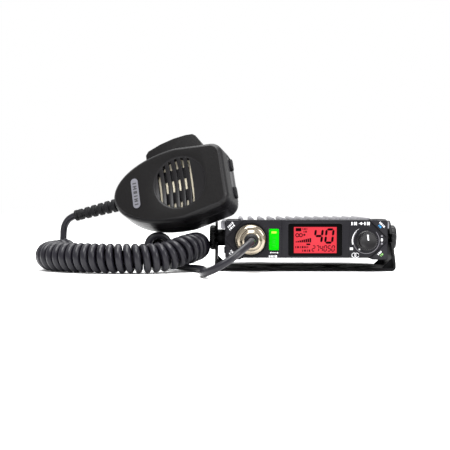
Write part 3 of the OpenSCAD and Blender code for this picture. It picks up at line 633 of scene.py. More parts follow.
class Marks:
    """Collects flat printed shapes of one ink on one surface.

    Args:
        thick: Thickness of the ink film in mm.
    """

    def __init__(self, thick: float = 0.05) -> None:
        self.bm = bmesh.new()
        self.thick = thick

    def shape(self, points: Outline, x: float, z: float, turn_deg: float = 0.0) -> None:
        """Adds a polygon.

        Args:
            points: Corners in mm about the shape's own middle.
            x: Place of the middle to the right.
            z: Height of the middle.
            turn_deg: Turn anticlockwise as the user sees it.
        """
        cos, sin = math.cos(math.radians(turn_deg)), math.sin(math.radians(turn_deg))
        spots = [(x + px * cos - pz * sin, z + px * sin + pz * cos) for px, pz in points]
        self.bm.faces.new([self.bm.verts.new((across * MM, up * MM, 0)) for across, up in spots])

    def bar(self, x: float, z: float, width: float, height: float, turn_deg: float = 0.0) -> None:
        """Adds a rectangle."""
        w, h = width / 2, height / 2
        self.shape(((-w, -h), (w, -h), (w, h), (-w, h)), x, z, turn_deg)

    def dot(self, x: float, z: float, radius: float) -> None:
        """Adds a disc."""
        self.shape([(radius * math.cos(math.tau * k / 20), radius * math.sin(math.tau * k / 20))
                    for k in range(20)], x, z)

    def arc(self, x: float, z: float, radius: float, widths: tuple[float, float], start: float,
            end: float) -> None:
        """Adds a curved stroke whose width grows from its first to its second value."""
        steps = 24
        for k in range(steps):
            corners = []
            for j, side in ((k, -1), (k + 1, -1), (k + 1, 1), (k, 1)):
                share = j / steps
                angle = math.radians(start + (end - start) * share)
                reach = radius + side * (widths[0] + (widths[1] - widths[0]) * share) / 2
                corners.append((reach * math.cos(angle), reach * math.sin(angle)))
            self.shape(corners, x, z)

    def line_of_signs(self, x: float, z: float, length: float, height: float, turn_deg: float = 0.0) -> None:
        """Adds a row of plain upright strokes and blocks that stands for a printed legend."""
        pattern = (0.45, 0.9, 0.45, 0.7, 1.0, 0.45, 0.8)
        gap = 0.42
        cos, sin = math.cos(math.radians(turn_deg)), math.sin(math.radians(turn_deg))
        run = 0.0
        k = 0
        while run + pattern[k % len(pattern)] * height <= length + 1e-6:
            width = pattern[k % len(pattern)] * height
            along = run + width / 2 - length / 2
            self._sign(x + along * cos, z + along * sin, width, height, turn_deg, k)
            run += width + gap * height
            k += 1

    def _sign(self, x: float, z: float, width: float, height: float, turn_deg: float, k: int) -> None:
        """Adds one plain sign of a row: a stroke, or two strokes with a bridge."""
        stroke = 0.33 * height
        cos, sin = math.cos(math.radians(turn_deg)), math.sin(math.radians(turn_deg))
        if width < 0.6 * height:
            self.bar(x, z, stroke, height, turn_deg)
            return
        for side in (-1, 1):
            off = side * (width - stroke) / 2
            self.bar(x + off * cos, z + off * sin, stroke, height, turn_deg)
        rise = (-0.36, 0.0, 0.36)[k % 3] * height
        self.bar(x - rise * sin, z + rise * cos, width - 2 * stroke, stroke, turn_deg)

    def seven_segment(self, digits: str, x: float, z: float, width: float, height: float, pitch: float,
                      stroke: float) -> None:
        """Adds slanted seven-segment digits.

        Args:
            digits: The digits.
            x: Middle of the first digit.
            z: Middle of the row.
            width: Width of a digit.
            height: Height of a digit.
            pitch: Distance between digits.
            stroke: Width of a segment.
        """
        lit = {"0": "abcdef", "2": "abged", "4": "fgbc", "5": "afgcd", "7": "abc"}
        w, h, s = (width - stroke) / 2, (height - stroke) / 2, stroke / 2
        places = {"a": (0, h, 0), "g": (0, 0, 0), "d": (0, -h, 0), "f": (-w, h / 2, 1), "b": (w, h / 2, 1),
                  "e": (-w, -h / 2, 1), "c": (w, -h / 2, 1)}
        slant = 0.12
        for n, digit in enumerate(digits):
            for name in lit[digit]:
                cx, cz, upright = places[name]
                half = (h / 2 if upright else w) - 0.12 * stroke
                ends = [(-half, 0), (-half + s, -s), (half - s, -s), (half, 0), (half - s, s), (-half + s, s)]
                if upright:
                    ends = [(-b, a) for a, b in ends]
                self.shape([(cx + a + slant * (cz + b), cz + b) for a, b in ends], x + n * pitch, z)

    def finish(self, name: str, finish: Finish, body: str, slot: str, place: Matrix) -> bpy.types.Object:
        """Turns the collected shapes into one printed piece.

        Args:
            name: Name of the piece.
            finish: The ink.
            body: CAD body that it moves with.
            slot: Material slot of the record; not used.
            place: Matrix from the marks' own plane to the row frame.

        Returns:
            The piece.
        """
        thicken(self.bm, self.thick)
        return add_piece(name, self.bm, finish, body, place)


# ---------------------------------------------------------------- front panel

@dataclass
class FrontPanel:
    """The three front mouldings, corner keys and printed legends; sizes in mm."""

    face_y: float = -35.0
    key_face_y: float = -35.9
    key_centre_x: float = 46.85
    key_high_z: float = 29.1
    key_low_z: float = 11.9
    line_height: float = 1.15
    mid_x: float = 47.35
    bevel: float = 0.35
    lip_width: float = 98.4
    lip_height: float = 3.2
    lip_z: float = 30.4
    lip_y: float = -21.1
    lip_thick: float = 0.4

    def build(self) -> None:
        """Makes every piece of the panel."""
        lip = plate(self.lip_width, self.lip_height, 0, self.lip_thick)
        add_piece("panel_rear_lip", lip, PANEL_ABS, "radio",
                  from_face(0, self.lip_z, self.lip_y))
        for node in ("panel_left", "panel_right", "display_frame"):
            add_piece(f"{node}_moulding", rounded_copy(node, self.bevel, 3), PANEL_ABS, "radio",
                      stands_for=[node])
        for node, body in (("key_top_left", "key_tl"), ("key_bottom_left", "key_bl"),
                           ("key_top_right", "key_tr"), ("key_bottom_right", "key_br")):
            add_piece(f"{node}_cap", rounded_copy(node, 0.4, 3), KEY_ABS, body,
                      stands_for=[node])
        self._key_legends()
        self._panel_legends()

    def _key_legends(self) -> None:
        """Prints two short lines on each corner key, along its long edge."""
        rows = (
            ("key_top_left", "key_tl", -1, 1, ((4.6, WHITE_INK), (5.4, WHITE_INK))),
            ("key_bottom_left", "key_bl", -1, -1, ((3.4, WHITE_INK), (2.2, WHITE_INK))),
            ("key_top_right", "key_tr", 1, 1, ((4.8, WHITE_INK), (3.0, BLUE_INK))),
            ("key_bottom_right", "key_br", 1, -1, ((4.2, WHITE_INK), (3.0, GREEN_INK))),
        )
        for name, body, sx, sz, lines in rows:
            turn = -45.0 * sx * sz
            middle_z = self.key_high_z if sz > 0 else self.key_low_z
            for row, (length, ink) in enumerate(lines):
                lift = self.line_height * (0.75 - 1.5 * row)
                marks = Marks()
                marks.line_of_signs(sx * self.key_centre_x - lift * math.sin(math.radians(turn)),
                                    middle_z + lift * math.cos(math.radians(turn)), length,
                                    self.line_height, turn)
                marks.finish(f"{name}_legend_{row}", ink, body, "key_plastic",
                             from_face(0, 0, self.key_face_y))

    def _panel_legends(self) -> None:
        """Prints the marks round the controls."""
        white = Marks()
        white.line_of_signs(30.7, 30.5, 5.2, 2.0)
        white.line_of_signs(38.0, 30.5, 3.6, 2.0)
        white.shape(((-0.95, 0), (0, -0.95), (0.95, 0), (0, 0.95)), 34.4, 30.55)
        white.bar(34.4, 30.55, 2.9, 0.3)
        white.arc(37.6, 19.8, 8.7, (0.12, 0.75), 122, 196)
        white.bar(28.3, 14.7, 1.9, 1.5)
        white.dot(33.3, 14.3, 0.5)
        for side in (-0.85, 0.85):
            white.arc(30.8 + side, 10.7, 1.35, (0.28, 0.28), 20, 340)
        white.bar(30.8, 10.7, 1.3, 0.3)
        white.bar(self.mid_x, 20.3, 1.1, 1.7)
        white.line_of_signs(-20.3, 9.9, 6.4, 1.35)
        white.bar(-20.3, 12.2, 3.6, 0.28)
        white.shape(((0, 0.55), (0, -0.55), (0.9, 0)), -18.3, 12.2)
        white.dot(-22.2, 12.2, 0.42)
        white.finish("panel_marks_white", WHITE_INK, "radio", "panel_plastic",
                     from_face(0, 0, self.face_y + INK_LIFT))
        grey = Marks()
        grey.bar(self.mid_x, 22.7, 1.1, 1.1)
        grey.bar(self.mid_x, 17.9, 1.1, 1.1)
        grey.arc(37.6, 19.8, 8.15, (0.3, 0.3), -222, 42)
        grey.finish("panel_marks_grey", GREY_INK, "radio", "panel_plastic",
                    from_face(0, 0, self.face_y + INK_LIFT))


@dataclass
class Display:
    """The window, its black frame and the lit screen with its segments; sizes in mm."""

    face_y: float = -35.0
    centre_x: float = 5.6
    centre_z: float = 20.3
    width: float = 33.8
    height: float = 20.3
    lit_x: float = 5.65
    lit_z: float = 20.15
    lit_width: float = 26.8
    lit_height: float = 16.4

    def build(self) -> None:
        """Makes the window and everything seen through it."""
        window = plate(self.width - 0.1, self.height - 0.1, 1.1, 0.6)
        add_piece("display_window", window, WINDOW_INK, "radio",
                  from_face(self.centre_x, self.centre_z, self.face_y + 0.9), stands_for=["lcd_lens"])
        glow = Glow("backlit_liquid_crystal", "ff3d4c", "f22a3c", 0.95,
                    (self.lit_x * MM, (self.face_y + 0.2) * MM, self.lit_z * MM), 0.016)
        screen = plate(self.lit_width, self.lit_height, 0.2, 0.12)
        add_piece("display_screen", screen, glow, "radio",
                  from_face(self.lit_x, self.lit_z, self.face_y + 0.32))
        self._segments()
        dress("lcd_glass", ACRYLIC)
        dress("backlight", NYLON)

    def _segments(self) -> None:
        """Draws the channel, the level bars, the small signs and the frequency."""
        signs = Marks(0.06)
        signs.seven_segment("40", 7.7, 22.7, 5.7, 9.7, 6.8, 1.4)
        signs.seven_segment("274050", 4.6, 14.9, 2.05, 3.9, 2.45, 0.5)
        for k in range(8):
            height = 0.6 + 0.3 * k
            signs.bar(-6.2 + 1.25 * k, 18.7 + height / 2, 0.98, height)
        signs.bar(-4.9, 26.7, 3.5, 2.0)
        signs.line_of_signs(-0.6, 27.1, 3.6, 1.15)
        signs.line_of_signs(-0.4, 25.4, 2.6, 1.15)
        for x, reach in ((-5.6, 1.0), (-3.4, 1.0)):
            signs.arc(x, 23.2, reach, (0.5, 0.5), 0, 359)
        signs.bar(-1.2, 23.4, 1.1, 1.1, 45)
        signs.bar(1.3, 17.5, 2.4, 1.0)
        signs.line_of_signs(-2.2, 15.7, 9.4, 1.35)
        signs.line_of_signs(0.3, 13.5, 5.8, 1.35)
        signs.finish("display_segments", SEGMENT_FILM, "radio", "display",
                     from_face(0, 0, self.face_y + 0.21))


# ---------------------------------------------------------------- controls

@dataclass
class VolumeKnob:
    """Ribbed knob with a dished face and a white pointer; sizes in mm."""

    x: float = 37.6
    z: float = 19.8
    front_y: float = -45.7
    ribs: int = 30

    def build(self) -> None:
        """Makes the knob, its pointer and its shaft's look."""
        profile = [(0, 0.75), (2.0, 0.7), (3.6, 0.45), (4.4, 0.12), (4.8, 0.0), (5.15, 0.08), (5.4, 0.35),
                   (5.55, 0.8)]
        profile += [(5.6 + 0.1 * k / 8, 1.2 + 7.0 * k / 8) for k in range(9)]
        profile += [(6.1, 8.45), (6.28, 8.7), (6.3, 9.0), (6.3, 9.9), (6.2, 10.0), (0, 10.0)]
        bm = lathe(profile, 240)
        knurl(bm, (0.3, 8.3), 5.0, self.ribs, 0.42)
        add_piece("volume_knob_cap", bm, KNOB_ABS, "knob",
                  Matrix.Translation((self.x * MM, self.front_y * MM, self.z * MM)),
                  stands_for=["volume_knob"], smooth_deg=50)
        pointer = Marks(0.4)
        pointer.shape(((-0.36, -1.6), (0.36, -1.6), (0.42, 1.9), (-0.42, 1.9)), self.x - 0.3, self.z + 2.1, 6)
        pointer.finish("volume_knob_pointer", WHITE_INK, "knob", "knob_plastic",
                       from_face(0, 0, self.front_y + 0.5))
        for node, finish in (("encoder_shaft", ZINC), ("encoder_body", ZINC), ("encoder_plunger", NYLON)):
            dress(node, finish)


@dataclass
class MicPlug:
    """Coupling ring, stepped barrel and rubber boot on the microphone socket; sizes in mm."""

    x: float = -34.9
    z: float = 20.5
    face_y: float = -35.0

    def build(self) -> list[bpy.types.Object]:
        """Makes the plug and returns the pieces that sit on the cord."""
        place = Matrix.Translation((self.x * MM, self.face_y * MM, self.z * MM))
        ring = [(6.9, -12.0), (7.6, -12.0), (8.0, -11.85), (8.25, -11.6), (8.55, -11.45), (8.62, -11.2),
                (8.62, -9.4), (8.75, -9.1), (9.0, -8.9), (9.12, -8.6), (9.12, -8.0)]
        ring += [(9.12, -8.0 + 6.0 * k / 6) for k in range(1, 7)]
        ring += [(9.05, -1.4), (8.75, -0.6), (8.4, -0.4), (7.9, -0.4), (7.9, -9.6), (6.9, -9.6), (6.9, -12.0)]
        bm = lathe(ring, 288)
        knurl(bm, (-8.3, -1.8), 8.5, 48, 0.38)
        add_piece("plug_coupling_ring", bm, NICKEL, "plug_coupling", place, ["plug_ring"], 50)
        shell = [(3.2, -22.0), (4.6, -22.0), (5.1, -21.85), (5.5, -21.5), (5.7, -21.0), (5.7, -17.6),
                 (5.5, -17.3), (5.5, -16.9), (5.75, -16.6), (6.3, -16.1), (6.5, -15.7), (6.5, -13.4),
                 (6.35, -13.1), (6.5, -12.8),
                 (6.5, -9.4), (7.4, -9.4), (7.4, -5.8), (6.3, -5.8), (6.3, -4.2), (0, -4.2), (0, -6.0),
                 (3.2, -6.0), (3.2, -22.0)]
        barrel = add_piece("plug_barrel", lathe(shell, 96), NICKEL, "radio", place, ["plug_shell"])
        boot = [(2.25, -29.9), (2.75, -30.0), (3.15, -29.8), (3.5, -29.2), (3.62, -28.6), (3.45, -28.2),
                (3.75, -27.8), (3.9, -27.0), (3.65, -26.6), (4.0, -26.2), (4.1, -25.4), (3.85, -25.0),
                (4.25, -24.6), (4.4, -23.4), (4.35, -22.4), (4.1, -22.05), (3.15, -22.0), (3.15, -10.0),
                (2.25, -10.0), (2.25, -29.9)]
        sleeve = add_piece("plug_boot_sleeve", lathe(boot, 72), RUBBER, "radio", place,
                           ["plug_boot"])
        well = [(7.75, 1.15), (10.35, 1.15), (10.35, 1.0), (7.75, 1.0), (7.75, 1.15)]
        add_piece("plug_recess_floor", lathe(well, 72), RUBBER, "radio", place)
        dress("mic_socket", NICKEL)
        dress("socket_insulator", PHENOLIC)
        return [barrel, sleeve]


@dataclass
class UsbFlap:
    """The green silicone flap over the charging socket; sizes in mm."""

    x: float = -20.3
    z: float = 20.5
    face_y: float = -35.7

    def build(self) -> None:
        """Makes the flap with its grip block and raised signs."""
        add_piece("usb_flap_cover", rounded_copy("usb_flap", 0.45, 3), GREEN_SILICONE, "usb_cover",
                  stands_for=["usb_flap"])
        grip = plate(3.2, 1.3, 0.3, 0.25)
        add_piece("usb_flap_grip", grip, PALE_SILICONE, "usb_cover",
                  from_face(self.x, self.z + 4.5, self.face_y + 0.05))
        signs = Marks(0.16)
        signs.line_of_signs(self.x, self.z - 1.4, 6.0, 2.2, 90)
        raised = Finish("green_silicone_raised", "0aa804", "089a04", 0.45, 0.05, 0.6, 0.006, specular=0.15)
        signs.finish("usb_flap_signs", raised, "usb_cover", "green_rubber",
                     from_face(0, 0, self.face_y + 0.02))
        dress("usb_socket", ZINC)


# ---------------------------------------------------------------- microphone

MIC_PLACE = (Matrix.Translation((-80.3 * MM, -23 * MM, 56.7 * MM))
             @ Matrix.Rotation(math.radians(-18), 4, "Z") @ Matrix.Rotation(math.radians(-18), 4, "X")
             @ Matrix.Rotation(math.radians(-14.4), 4, "Y") @ Matrix.Rotation(math.pi / 2, 4, "X"))


def loft(rings: Sequence[Sequence[tuple[float, float, float]]], closed: bool, cap: bool) -> bmesh.types.BMesh:
    """Joins rings of equal length with quads.

    Args:
        rings: Rings of points in mm.
        closed: Joins the last ring back to the first.
        cap: Closes the first and last rings with a face each.

    Returns:
        The mesh, in metres.
    """
    bm = bmesh.new()
    rows = [[bm.verts.new((x * MM, y * MM, z * MM)) for x, y, z in ring] for ring in rings]
    pairs = list(zip(rows, rows[1:])) + ([(rows[-1], rows[0])] if closed else [])
    for low, high in pairs:
        for k in range(len(low)):
            n = (k + 1) % len(low)
            bm.faces.new((low[k], low[n], high[n], high[k]))
    if cap:
        bm.faces.new(rows[0])
        bm.faces.new(list(reversed(rows[-1])))
    bmesh.ops.remove_doubles(bm, verts=bm.verts, dist=1e-6)
    bmesh.ops.recalc_face_normals(bm, faces=bm.faces)
    return bm


@dataclass
class Microphone:
    """Hand microphone in its own frame: x to the button end, y to the talk key, z out of the face; mm."""

    nose: float = 46.7
    belly: float = 25.2
    corner_x: float = 22.2
    corner_y: float = 13.8
    corner_r: float = 8.2
    dish_r: float = 18.0
    slot_r: float = 16.9
    dish_curve_r: float = 55.5
    dish_depth: float = 3.0
    first_slot_x: float = -13.8
    slot_pitch: float = 4.25
    slot_width: float = 1.7
    slot_count: int = 6
    # Two dark cross ribs behind the slots: painted shade over the light cloth.
    shade_rib_x: float = -3.4
    shade_rib_y: float = 7.6
    shade_rib_z: float = -5.05
    shade_rib_length: float = 19.6
    shade_rib_width: float = 7.4
    points: int = 180
    key_low: tuple[float, float, float] = (-24.6, 12, -24.8)
    key_high: tuple[float, float, float] = (18.4, 60, -9.2)
    end_low: tuple[float, float, float] = (20, -13.6, -24.7)
    end_high: tuple[float, float, float] = (60, 15.2, -11.8)

    def build(self) -> list[bpy.types.Object]:
        """Makes the microphone and returns the pieces that sit on the cord."""
        self._front_shell()
        self._grille()
        self._rear_shell()
        self._controls()
        self._name_plate()
        relief = add_piece("cord_strain_relief", rounded_copy("strain_relief", 0.3, 2), RUBBER, "radio",
                           stands_for=["strain_relief"])
        dress("mic_capsule", ALUMINIUM)
        dress("mic_board", LAMINATE)
        dress("ptt_switch", EPOXY)
        dress("mic_grille_cloth", CLOTH)
        return [relief]

    def _dish_z(self, x: float, y: float) -> float:
        """Height of the dish's surface at a place."""
        return self.dish_curve_r - self.dish_depth - math.sqrt(self.dish_curve_r ** 2 - x * x - y * y)

    def _layer(self, z: float, grow: float) -> list[tuple[float, float, float]]:
        """One ring of the egg-shaped outline, with one point for each direction in which it faces."""
        long, wide, tight = self.nose + grow, self.belly + grow, self.corner_r + grow
        spots = ((0.0, wide, 0.0), (0.0, -wide, 0.0), (self.corner_x, self.corner_y, tight),
                 (self.corner_x, -self.corner_y, tight))
        ring = []
        for k in range(self.points):
            angle = math.tau * k / self.points
            nx, ny = math.cos(angle), math.sin(angle)
            if nx < 0:
                support = math.hypot(long * nx, wide * ny)
                ring.append((long ** 2 * nx / support, wide ** 2 * ny / support, z))
            else:
                x, y, radius = max(spots, key=lambda spot: spot[0] * nx + spot[1] * ny + spot[2])
                ring.append((x + radius * nx, y + radius * ny, z))
        return ring

    def _round(self, z: float, radius: float) -> list[tuple[float, float, float]]:
        """One round ring about the dish's middle."""
        turns = [math.tau * k / self.points for k in range(self.points)]
        return [(radius * math.cos(turn), radius * math.sin(turn), z) for turn in turns]

    @staticmethod
    def _sink(bm: bmesh.types.BMesh, low: Sequence[float], high: Sequence[float], push: Vector) -> None:
        """Pushes the part of a wall that lies within a box inwards.

        Args:
            bm: Closed shell, in metres.
            low: Low corner of the box, mm.
            high: High corner of the box, mm.
            push: How far the wall moves, along one axis, mm.
        """
        for axis in range(3):
            if push[axis] != 0:
                continue
            across = [float(axis == other) for other in range(3)]
            for edge in (low[axis], high[axis]):
                bmesh.ops.bisect_plane(bm, geom=list(bm.verts) + list(bm.edges) + list(bm.faces), dist=1e-7,
                                       plane_co=[edge * MM * part for part in across], plane_no=across)
        inside = []
        for face in bm.faces:
            middle = face.calc_center_median() / MM
            faces_out = face.normal.dot(push) < -OUTWARD * push.length
            if faces_out and all(a < m < b for a, m, b in zip(low, middle, high)):
                inside.append(face)
        sunk = bmesh.ops.extrude_face_region(bm, geom=inside)["geom"]
        bmesh.ops.delete(bm, geom=inside, context="FACES")
        bmesh.ops.translate(bm, vec=push * MM, verts=[g for g in sunk if isinstance(g, bmesh.types.BMVert)])
        bmesh.ops.recalc_face_normals(bm, faces=bm.faces)

    def _front_shell(self) -> None:
        """Makes the front moulding: spark-eroded face with the dish, satin walls."""
        edge_z = self._dish_z(self.slot_r, 0)
        rings = [self._round(-4.6, self.slot_r), self._round(edge_z - 0.25, self.slot_r),
                 self._round(edge_z + 0.02, self.slot_r + 0.25)]
        rings += [self._round(self._dish_z(self.dish_r - gap, 0), self.dish_r - gap) for gap in (0.6, 0.3)]
        rings += [self._round(-0.08, self.dish_r), self._round(0.0, self.dish_r + 0.35)]
        rings += [self._layer(0.0, -2.75), self._layer(0.0, -2.45), self._layer(-0.12, -2.2),
                  self._layer(-0.45, -1.65), self._layer(-0.95, -1.05), self._layer(-1.6, -0.55),
                  self._layer(-2.4, -0.15), self._layer(-3.4, 0.03), self._layer(-9.2, 0.2),
                  self._layer(-10.75, 0.25), self._layer(-11.0, 0.0), self._layer(-11.0, -1.0)]
        bm = loft(rings, closed=True, cap=False)
        self._sink(bm, self.key_low, self.key_high, Vector((0, -7, 0)))
        piece = add_piece("mic_front_moulding", bm, MIC_ABS, "radio", MIC_PLACE,
                          ["mic_front_shell"], 28)
        piece.data.materials.append(MIC_SATIN.material())
        back = MIC_PLACE.inverted()
        for face in piece.data.polygons:
            if (back @ face.center).z < -0.05 * MM:
                face.material_index = 1

    def _grille(self) -> None:
        """Makes the slats of the dish, the smooth part beside them and two dark cross ribs behind, which
        paint the shade that hides the cloth in the middle stretches of the slots.
        """
        reach = self.slot_r + 0.15
        starts = [-reach + 0.02] + [self.first_slot_x + k * self.slot_pitch + self.slot_width / 2
                                    for k in range(self.slot_count)]
        ends = [self.first_slot_x + k * self.slot_pitch - self.slot_width / 2
                for k in range(self.slot_count)] + [reach - 0.02]
        for k, (low, high) in enumerate(zip(starts, ends)):
            across = 2 if high - low < 3 else 12
            bm = bmesh.new()
            rows = []
            for i in range(across + 1):
                x = low + (high - low) * i / across
                half = math.sqrt(max(reach ** 2 - x * x, 0.01))
                rows.append([bm.verts.new((x * MM, half * (j / 12 - 1) * MM,
                                           self._dish_z(x, half * (j / 12 - 1)) * MM)) for j in range(25)])
            for left, right in zip(rows, rows[1:]):
                for j in range(24):
                    bm.faces.new((left[j], right[j], right[j + 1], left[j + 1]))
            raised = bmesh.ops.extrude_face_region(bm, geom=list(bm.faces), use_keep_orig=True)["geom"]
            bmesh.ops.translate(bm, vec=(0, 0, -2.0 * MM), verts=[g for g in raised
                                                                  if isinstance(g, bmesh.types.BMVert)])
            bmesh.ops.recalc_face_normals(bm, faces=bm.faces)
            sharp = [e for e in bm.edges if len(e.link_faces) == 2 and e.calc_face_angle(0) > 1.0]
            bmesh.ops.bevel(bm, geom=sharp, offset=0.25 * MM, segments=2, profile=0.5, affect="EDGES",
                            clamp_overlap=True, material=-1)
            add_piece(f"mic_grille_slat_{k}", bm, MIC_SATIN, "radio", MIC_PLACE, smooth_deg=50)
        # Dark ribs behind the slats: painted shade where the slots look dark, hiding the light cloth there.
        for k, side in enumerate((-1, 1)):
            place = MIC_PLACE @ Matrix.Translation((self.shade_rib_x * MM, side * self.shade_rib_y * MM, self.shade_rib_z * MM))
            add_piece(f"mic_grille_shade_rib_{k}", plate(self.shade_rib_length, self.shade_rib_width, 0.8, 0.45), MIC_SATIN,
                      "radio", place)

    def _rear_shell(self) -> None:
        """Makes the rear moulding with its rounded back edge."""
        profile = ((-11.02, -1.0), (-11.02, 0.0), (-11.3, 0.25), (-18.0, 0.4), (-22.5, 0.2),
                   (-24.5, -0.25), (-26.0, -1.1), (-27.5, -2.35), (-28.8, -3.75), (-29.6, -5.2),
                   (-29.95, -6.4), (-30.0, -8.0))
        bm = loft([self._layer(z, grow) for z, grow in profile], closed=False, cap=True)
        self._sink(bm, self.key_low, self.key_high, Vector((0, -7, 0)))
        self._sink(bm, self.end_low, self.end_high, Vector((-1.5, 0, 0)))
        add_piece("mic_rear_moulding", bm, MIC_SATIN, "radio", MIC_PLACE, ["mic_rear_shell"], 28)
        dress("hangup_stud", ZINC)
        dress("mic_screws", POWDER_COAT)

    def _controls(self) -> None:
        """Makes the talk key, the end plate and its two buttons."""
        add_piece("talk_key_cap", rounded_copy("ptt_key", 0.8, 4), MIC_ABS, "talk_key",
                  stands_for=["ptt_key"])
        add_piece("mic_end_cover", rounded_copy("mic_end_plate", 0.3, 2), GLOSS_GREY, "radio",
                  stands_for=["mic_end_plate"])
        for node, body in (("mic_up_button", "up_button"), ("mic_down_button", "down_button")):
            add_piece(f"{node}_cap", rounded_copy(node, 0.5, 3), RUBBER, body, stands_for=[node])

    def _name_plate(self) -> None:
        """Makes the silver name plate with a plain row of signs."""
        foil = plate(4.8, 20.7, 2.38, 0.45)
        add_piece("mic_name_foil", foil, FOIL, "radio",
                  MIC_PLACE @ Matrix.Translation((-30.4 * MM, 0, 0.02 * MM)), ["mic_name_plate"])
        signs = Marks(0.05)
        signs.line_of_signs(-30.4, 0.0, 16.6, 2.6, 90)
        signs.finish("mic_name_signs", EPOXY, "radio", "name_silver",
                     MIC_PLACE @ Matrix.Translation((0, 0, 0.465 * MM)))


# ---------------------------------------------------------------- case, bracket and rear

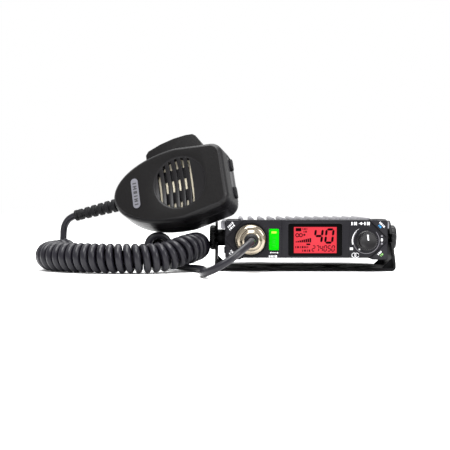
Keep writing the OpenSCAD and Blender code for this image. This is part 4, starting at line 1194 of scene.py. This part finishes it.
@dataclass
class Case:
    """Ribbed top extrusion, bottom cover, rear panel and their fittings; sizes in mm."""

    rear_y: float = 65.0
    socket_z: float = 19.0
    antenna_x: float = -30.0
    jack_x: float = -5.0
    power_x: float = 24.0
    screw_x: float = 46.7
    screw_rise: float = 6.4
    side_x: float = 50.7
    side_screw_z: float = 13.05
    side_screw_y: tuple[float, float] = (-14.0, 54.0)

    def build(self) -> None:
        """Makes the case and everything on its back and sides."""
        add_piece("case_top_extrusion", rounded_copy("case_top", 0.35, 2), ALUMINIUM, "radio",
                  stands_for=["case_top"])
        add_piece("bottom_cover_pressing", rounded_copy("bottom_cover", 0.15, 1), POWDER_COAT, "radio",
                  stands_for=["bottom_cover"])
        add_piece("rear_panel_pressing", rounded_copy("rear_panel", 0.3, 2), POWDER_COAT, "radio",
                  stands_for=["rear_panel"])
        self._antenna_socket()
        self._power_socket()
        self._jack()
        self._screws()
        for node, finish in (("front_board", LAMINATE), ("main_board", LAMINATE), ("key_switches", EPOXY),
                             ("board_parts", EPOXY), ("speaker", EPOXY)):
            dress(node, finish)

    def _antenna_socket(self) -> None:
        """Makes the threaded antenna socket with its white core and centre contact."""
        place = Matrix.Translation((self.antenna_x * MM, self.rear_y * MM, self.socket_z * MM))
        outer = [(5.6, 1.5), (5.6, 10.6), (6.0, 11.0), (7.3, 11.0), (7.7, 10.6)]
        pitch = 1.0
        for k in range(9):
            top = 10.4 - k * pitch
            outer += [(7.9, top), (7.9, top - 0.12), (7.35, top - 0.5), (7.35, top - 0.62)]
        outer += [(7.9, 1.1), (7.9, 0.5), (7.3, 0.5), (7.3, -2.0), (8.4, -2.0), (8.4, -3.5), (7.3, -3.5),
                  (7.3, -8.0), (0, -8.0), (0, 1.5), (5.6, 1.5)]
        add_piece("antenna_socket_shell", lathe(outer, 96), NICKEL, "radio", place,
                  ["antenna_socket"], 30)
        core = [(5.5, 1.5), (5.5, 8.6), (5.1, 9.0), (2.3, 9.0), (2.0, 8.6), (2.0, 1.5), (5.5, 1.5)]
        add_piece("antenna_socket_core", lathe(core, 72), NYLON, "radio", place)
        pin = [(1.9, 1.55), (1.9, 8.8), (1.7, 9.2), (1.3, 9.2), (1.2, 8.8), (1.2, 3.0), (0, 3.0), (0, 1.55),
               (1.9, 1.55)]
        add_piece("antenna_socket_contact", lathe(pin, 48), NICKEL, "radio", place)

    def _power_socket(self) -> None:
        """Makes the nylon power socket and its two metal pins."""
        add_piece("power_socket_housing", rounded_copy("power_socket", 0.3, 2), NYLON, "radio",
                  stands_for=["power_socket"])
        for k, side in enumerate((-1, 1)):
            pin = [(0, -9.4), (1.06, -9.4), (1.06, -2.4), (0.7, -1.9), (0, -1.8)]
            add_piece(f"power_socket_pin_{k}", lathe(pin, 36), NICKEL, "radio",
                      Matrix.Translation(((self.power_x + 3.6 * side) * MM, self.rear_y * MM,
                                          self.socket_z * MM)))

    def _jack(self) -> None:
        """Makes the loudspeaker jack and its ring nut."""
        add_piece("speaker_jack_housing", rounded_copy("speaker_jack", 0.2, 2), EPOXY, "radio",
                  stands_for=["speaker_jack"])
        nut = [(1.85, 0.95), (2.0, 1.02), (2.8, 1.02), (2.98, 0.9), (2.98, 0.05), (1.85, 0.05), (1.85, 0.95)]
        add_piece("speaker_jack_rim", lathe(nut, 60), NICKEL, "radio",
                  Matrix.Translation((self.jack_x * MM, self.rear_y * MM, self.socket_z * MM)))

    def _screws(self) -> None:
        """Makes pan heads with cross recesses for the rear and side screws."""
        spots = [(Matrix.Translation((sx * self.screw_x * MM, self.rear_y * MM,
                                      (self.socket_z - 0.9 + sz * self.screw_rise) * MM)), 1.4, 2.2)
                 for sx in (-1, 1) for sz in (-1, 1)]
        for sx in (-1, 1):
            for y in self.side_screw_y:
                turn = Matrix.Rotation(math.radians(-90 * sx), 4, "Z")
                middle = Vector((sx * (self.side_x - 0.02), y, self.side_screw_z)) * MM
                spots.append((Matrix.Translation(middle) @ turn, 1.2, 2.4))
        whole = bmesh.new()
        for place, height, radius in spots:
            self._pan_head(whole, place, height, radius)
        add_piece("case_screw_heads", whole, ZINC_BLACK, "radio", None, ["case_screws"], 35)

    @staticmethod
    def _pan_head(whole: bmesh.types.BMesh, place: Matrix, height: float, radius: float) -> None:
        """Adds one screw head to a mesh: its axis along +Y, a cross recess in its top."""
        arm, slot, deep = 0.62 * radius, 0.2 * radius, 0.55 * height
        cross = [(slot, slot), (slot, arm), (-slot, arm), (-slot, slot), (-arm, slot), (-arm, -slot),
                 (-slot, -slot), (-slot, -arm), (slot, -arm), (slot, -slot), (arm, -slot), (arm, slot)]
        angles = [math.atan2(z, x) for x, z in cross]
        rings = [[(x, height - deep, z) for x, z in cross], [(x, height, z) for x, z in cross]]
        for r, y in ((0.86, 1.0), (0.97, 0.82), (1.0, 0.5), (1.0, 0.0)):
            rings.append([(radius * r * math.cos(a), height * y, radius * r * math.sin(a)) for a in angles])
        head = loft(rings, closed=False, cap=True)
        bmesh.ops.transform(head, matrix=place, verts=head.verts)
        mesh = bpy.data.meshes.new("screw_head")
        head.to_mesh(mesh)
        head.free()
        whole.from_mesh(mesh)
        bpy.data.meshes.remove(mesh)


@dataclass
class Bracket:
    """Folded steel bracket, rubber spacers and the two thumb screws; sizes in mm."""

    bevel: float = 0.3

    def build(self) -> None:
        """Makes the bracket and its screws."""
        add_piece("bracket_pressing", rounded_copy("bracket", self.bevel, 2, 40), POWDER_COAT, "bracket",
                  stands_for=["bracket"])
        add_piece("ear_spacers", rounded_copy("rubber_spacers", 0.3, 2), RUBBER, "radio",
                  stands_for=["rubber_spacers"])
        for side in ("left", "right"):
            add_piece(f"thumb_screw_{side}_head", rounded_copy(f"thumb_screw_{side}", 0.35, 2), THUMB_NYLON,
                      f"thumb_{side}", stands_for=[f"thumb_screw_{side}"])


def main() -> None:
    """Builds the studio and the object, class by class."""
    logging.basicConfig(level=logging.INFO)
    Studio().build()
    on_cord = MicPlug().build()
    on_cord += Microphone().build()
    CurlyCord().build(on_cord)
    FrontPanel().build()
    Display().build()
    VolumeKnob().build()
    UsbFlap().build()
    Case().build()
    Bracket().build()


if __name__ == "__main__":
    main()
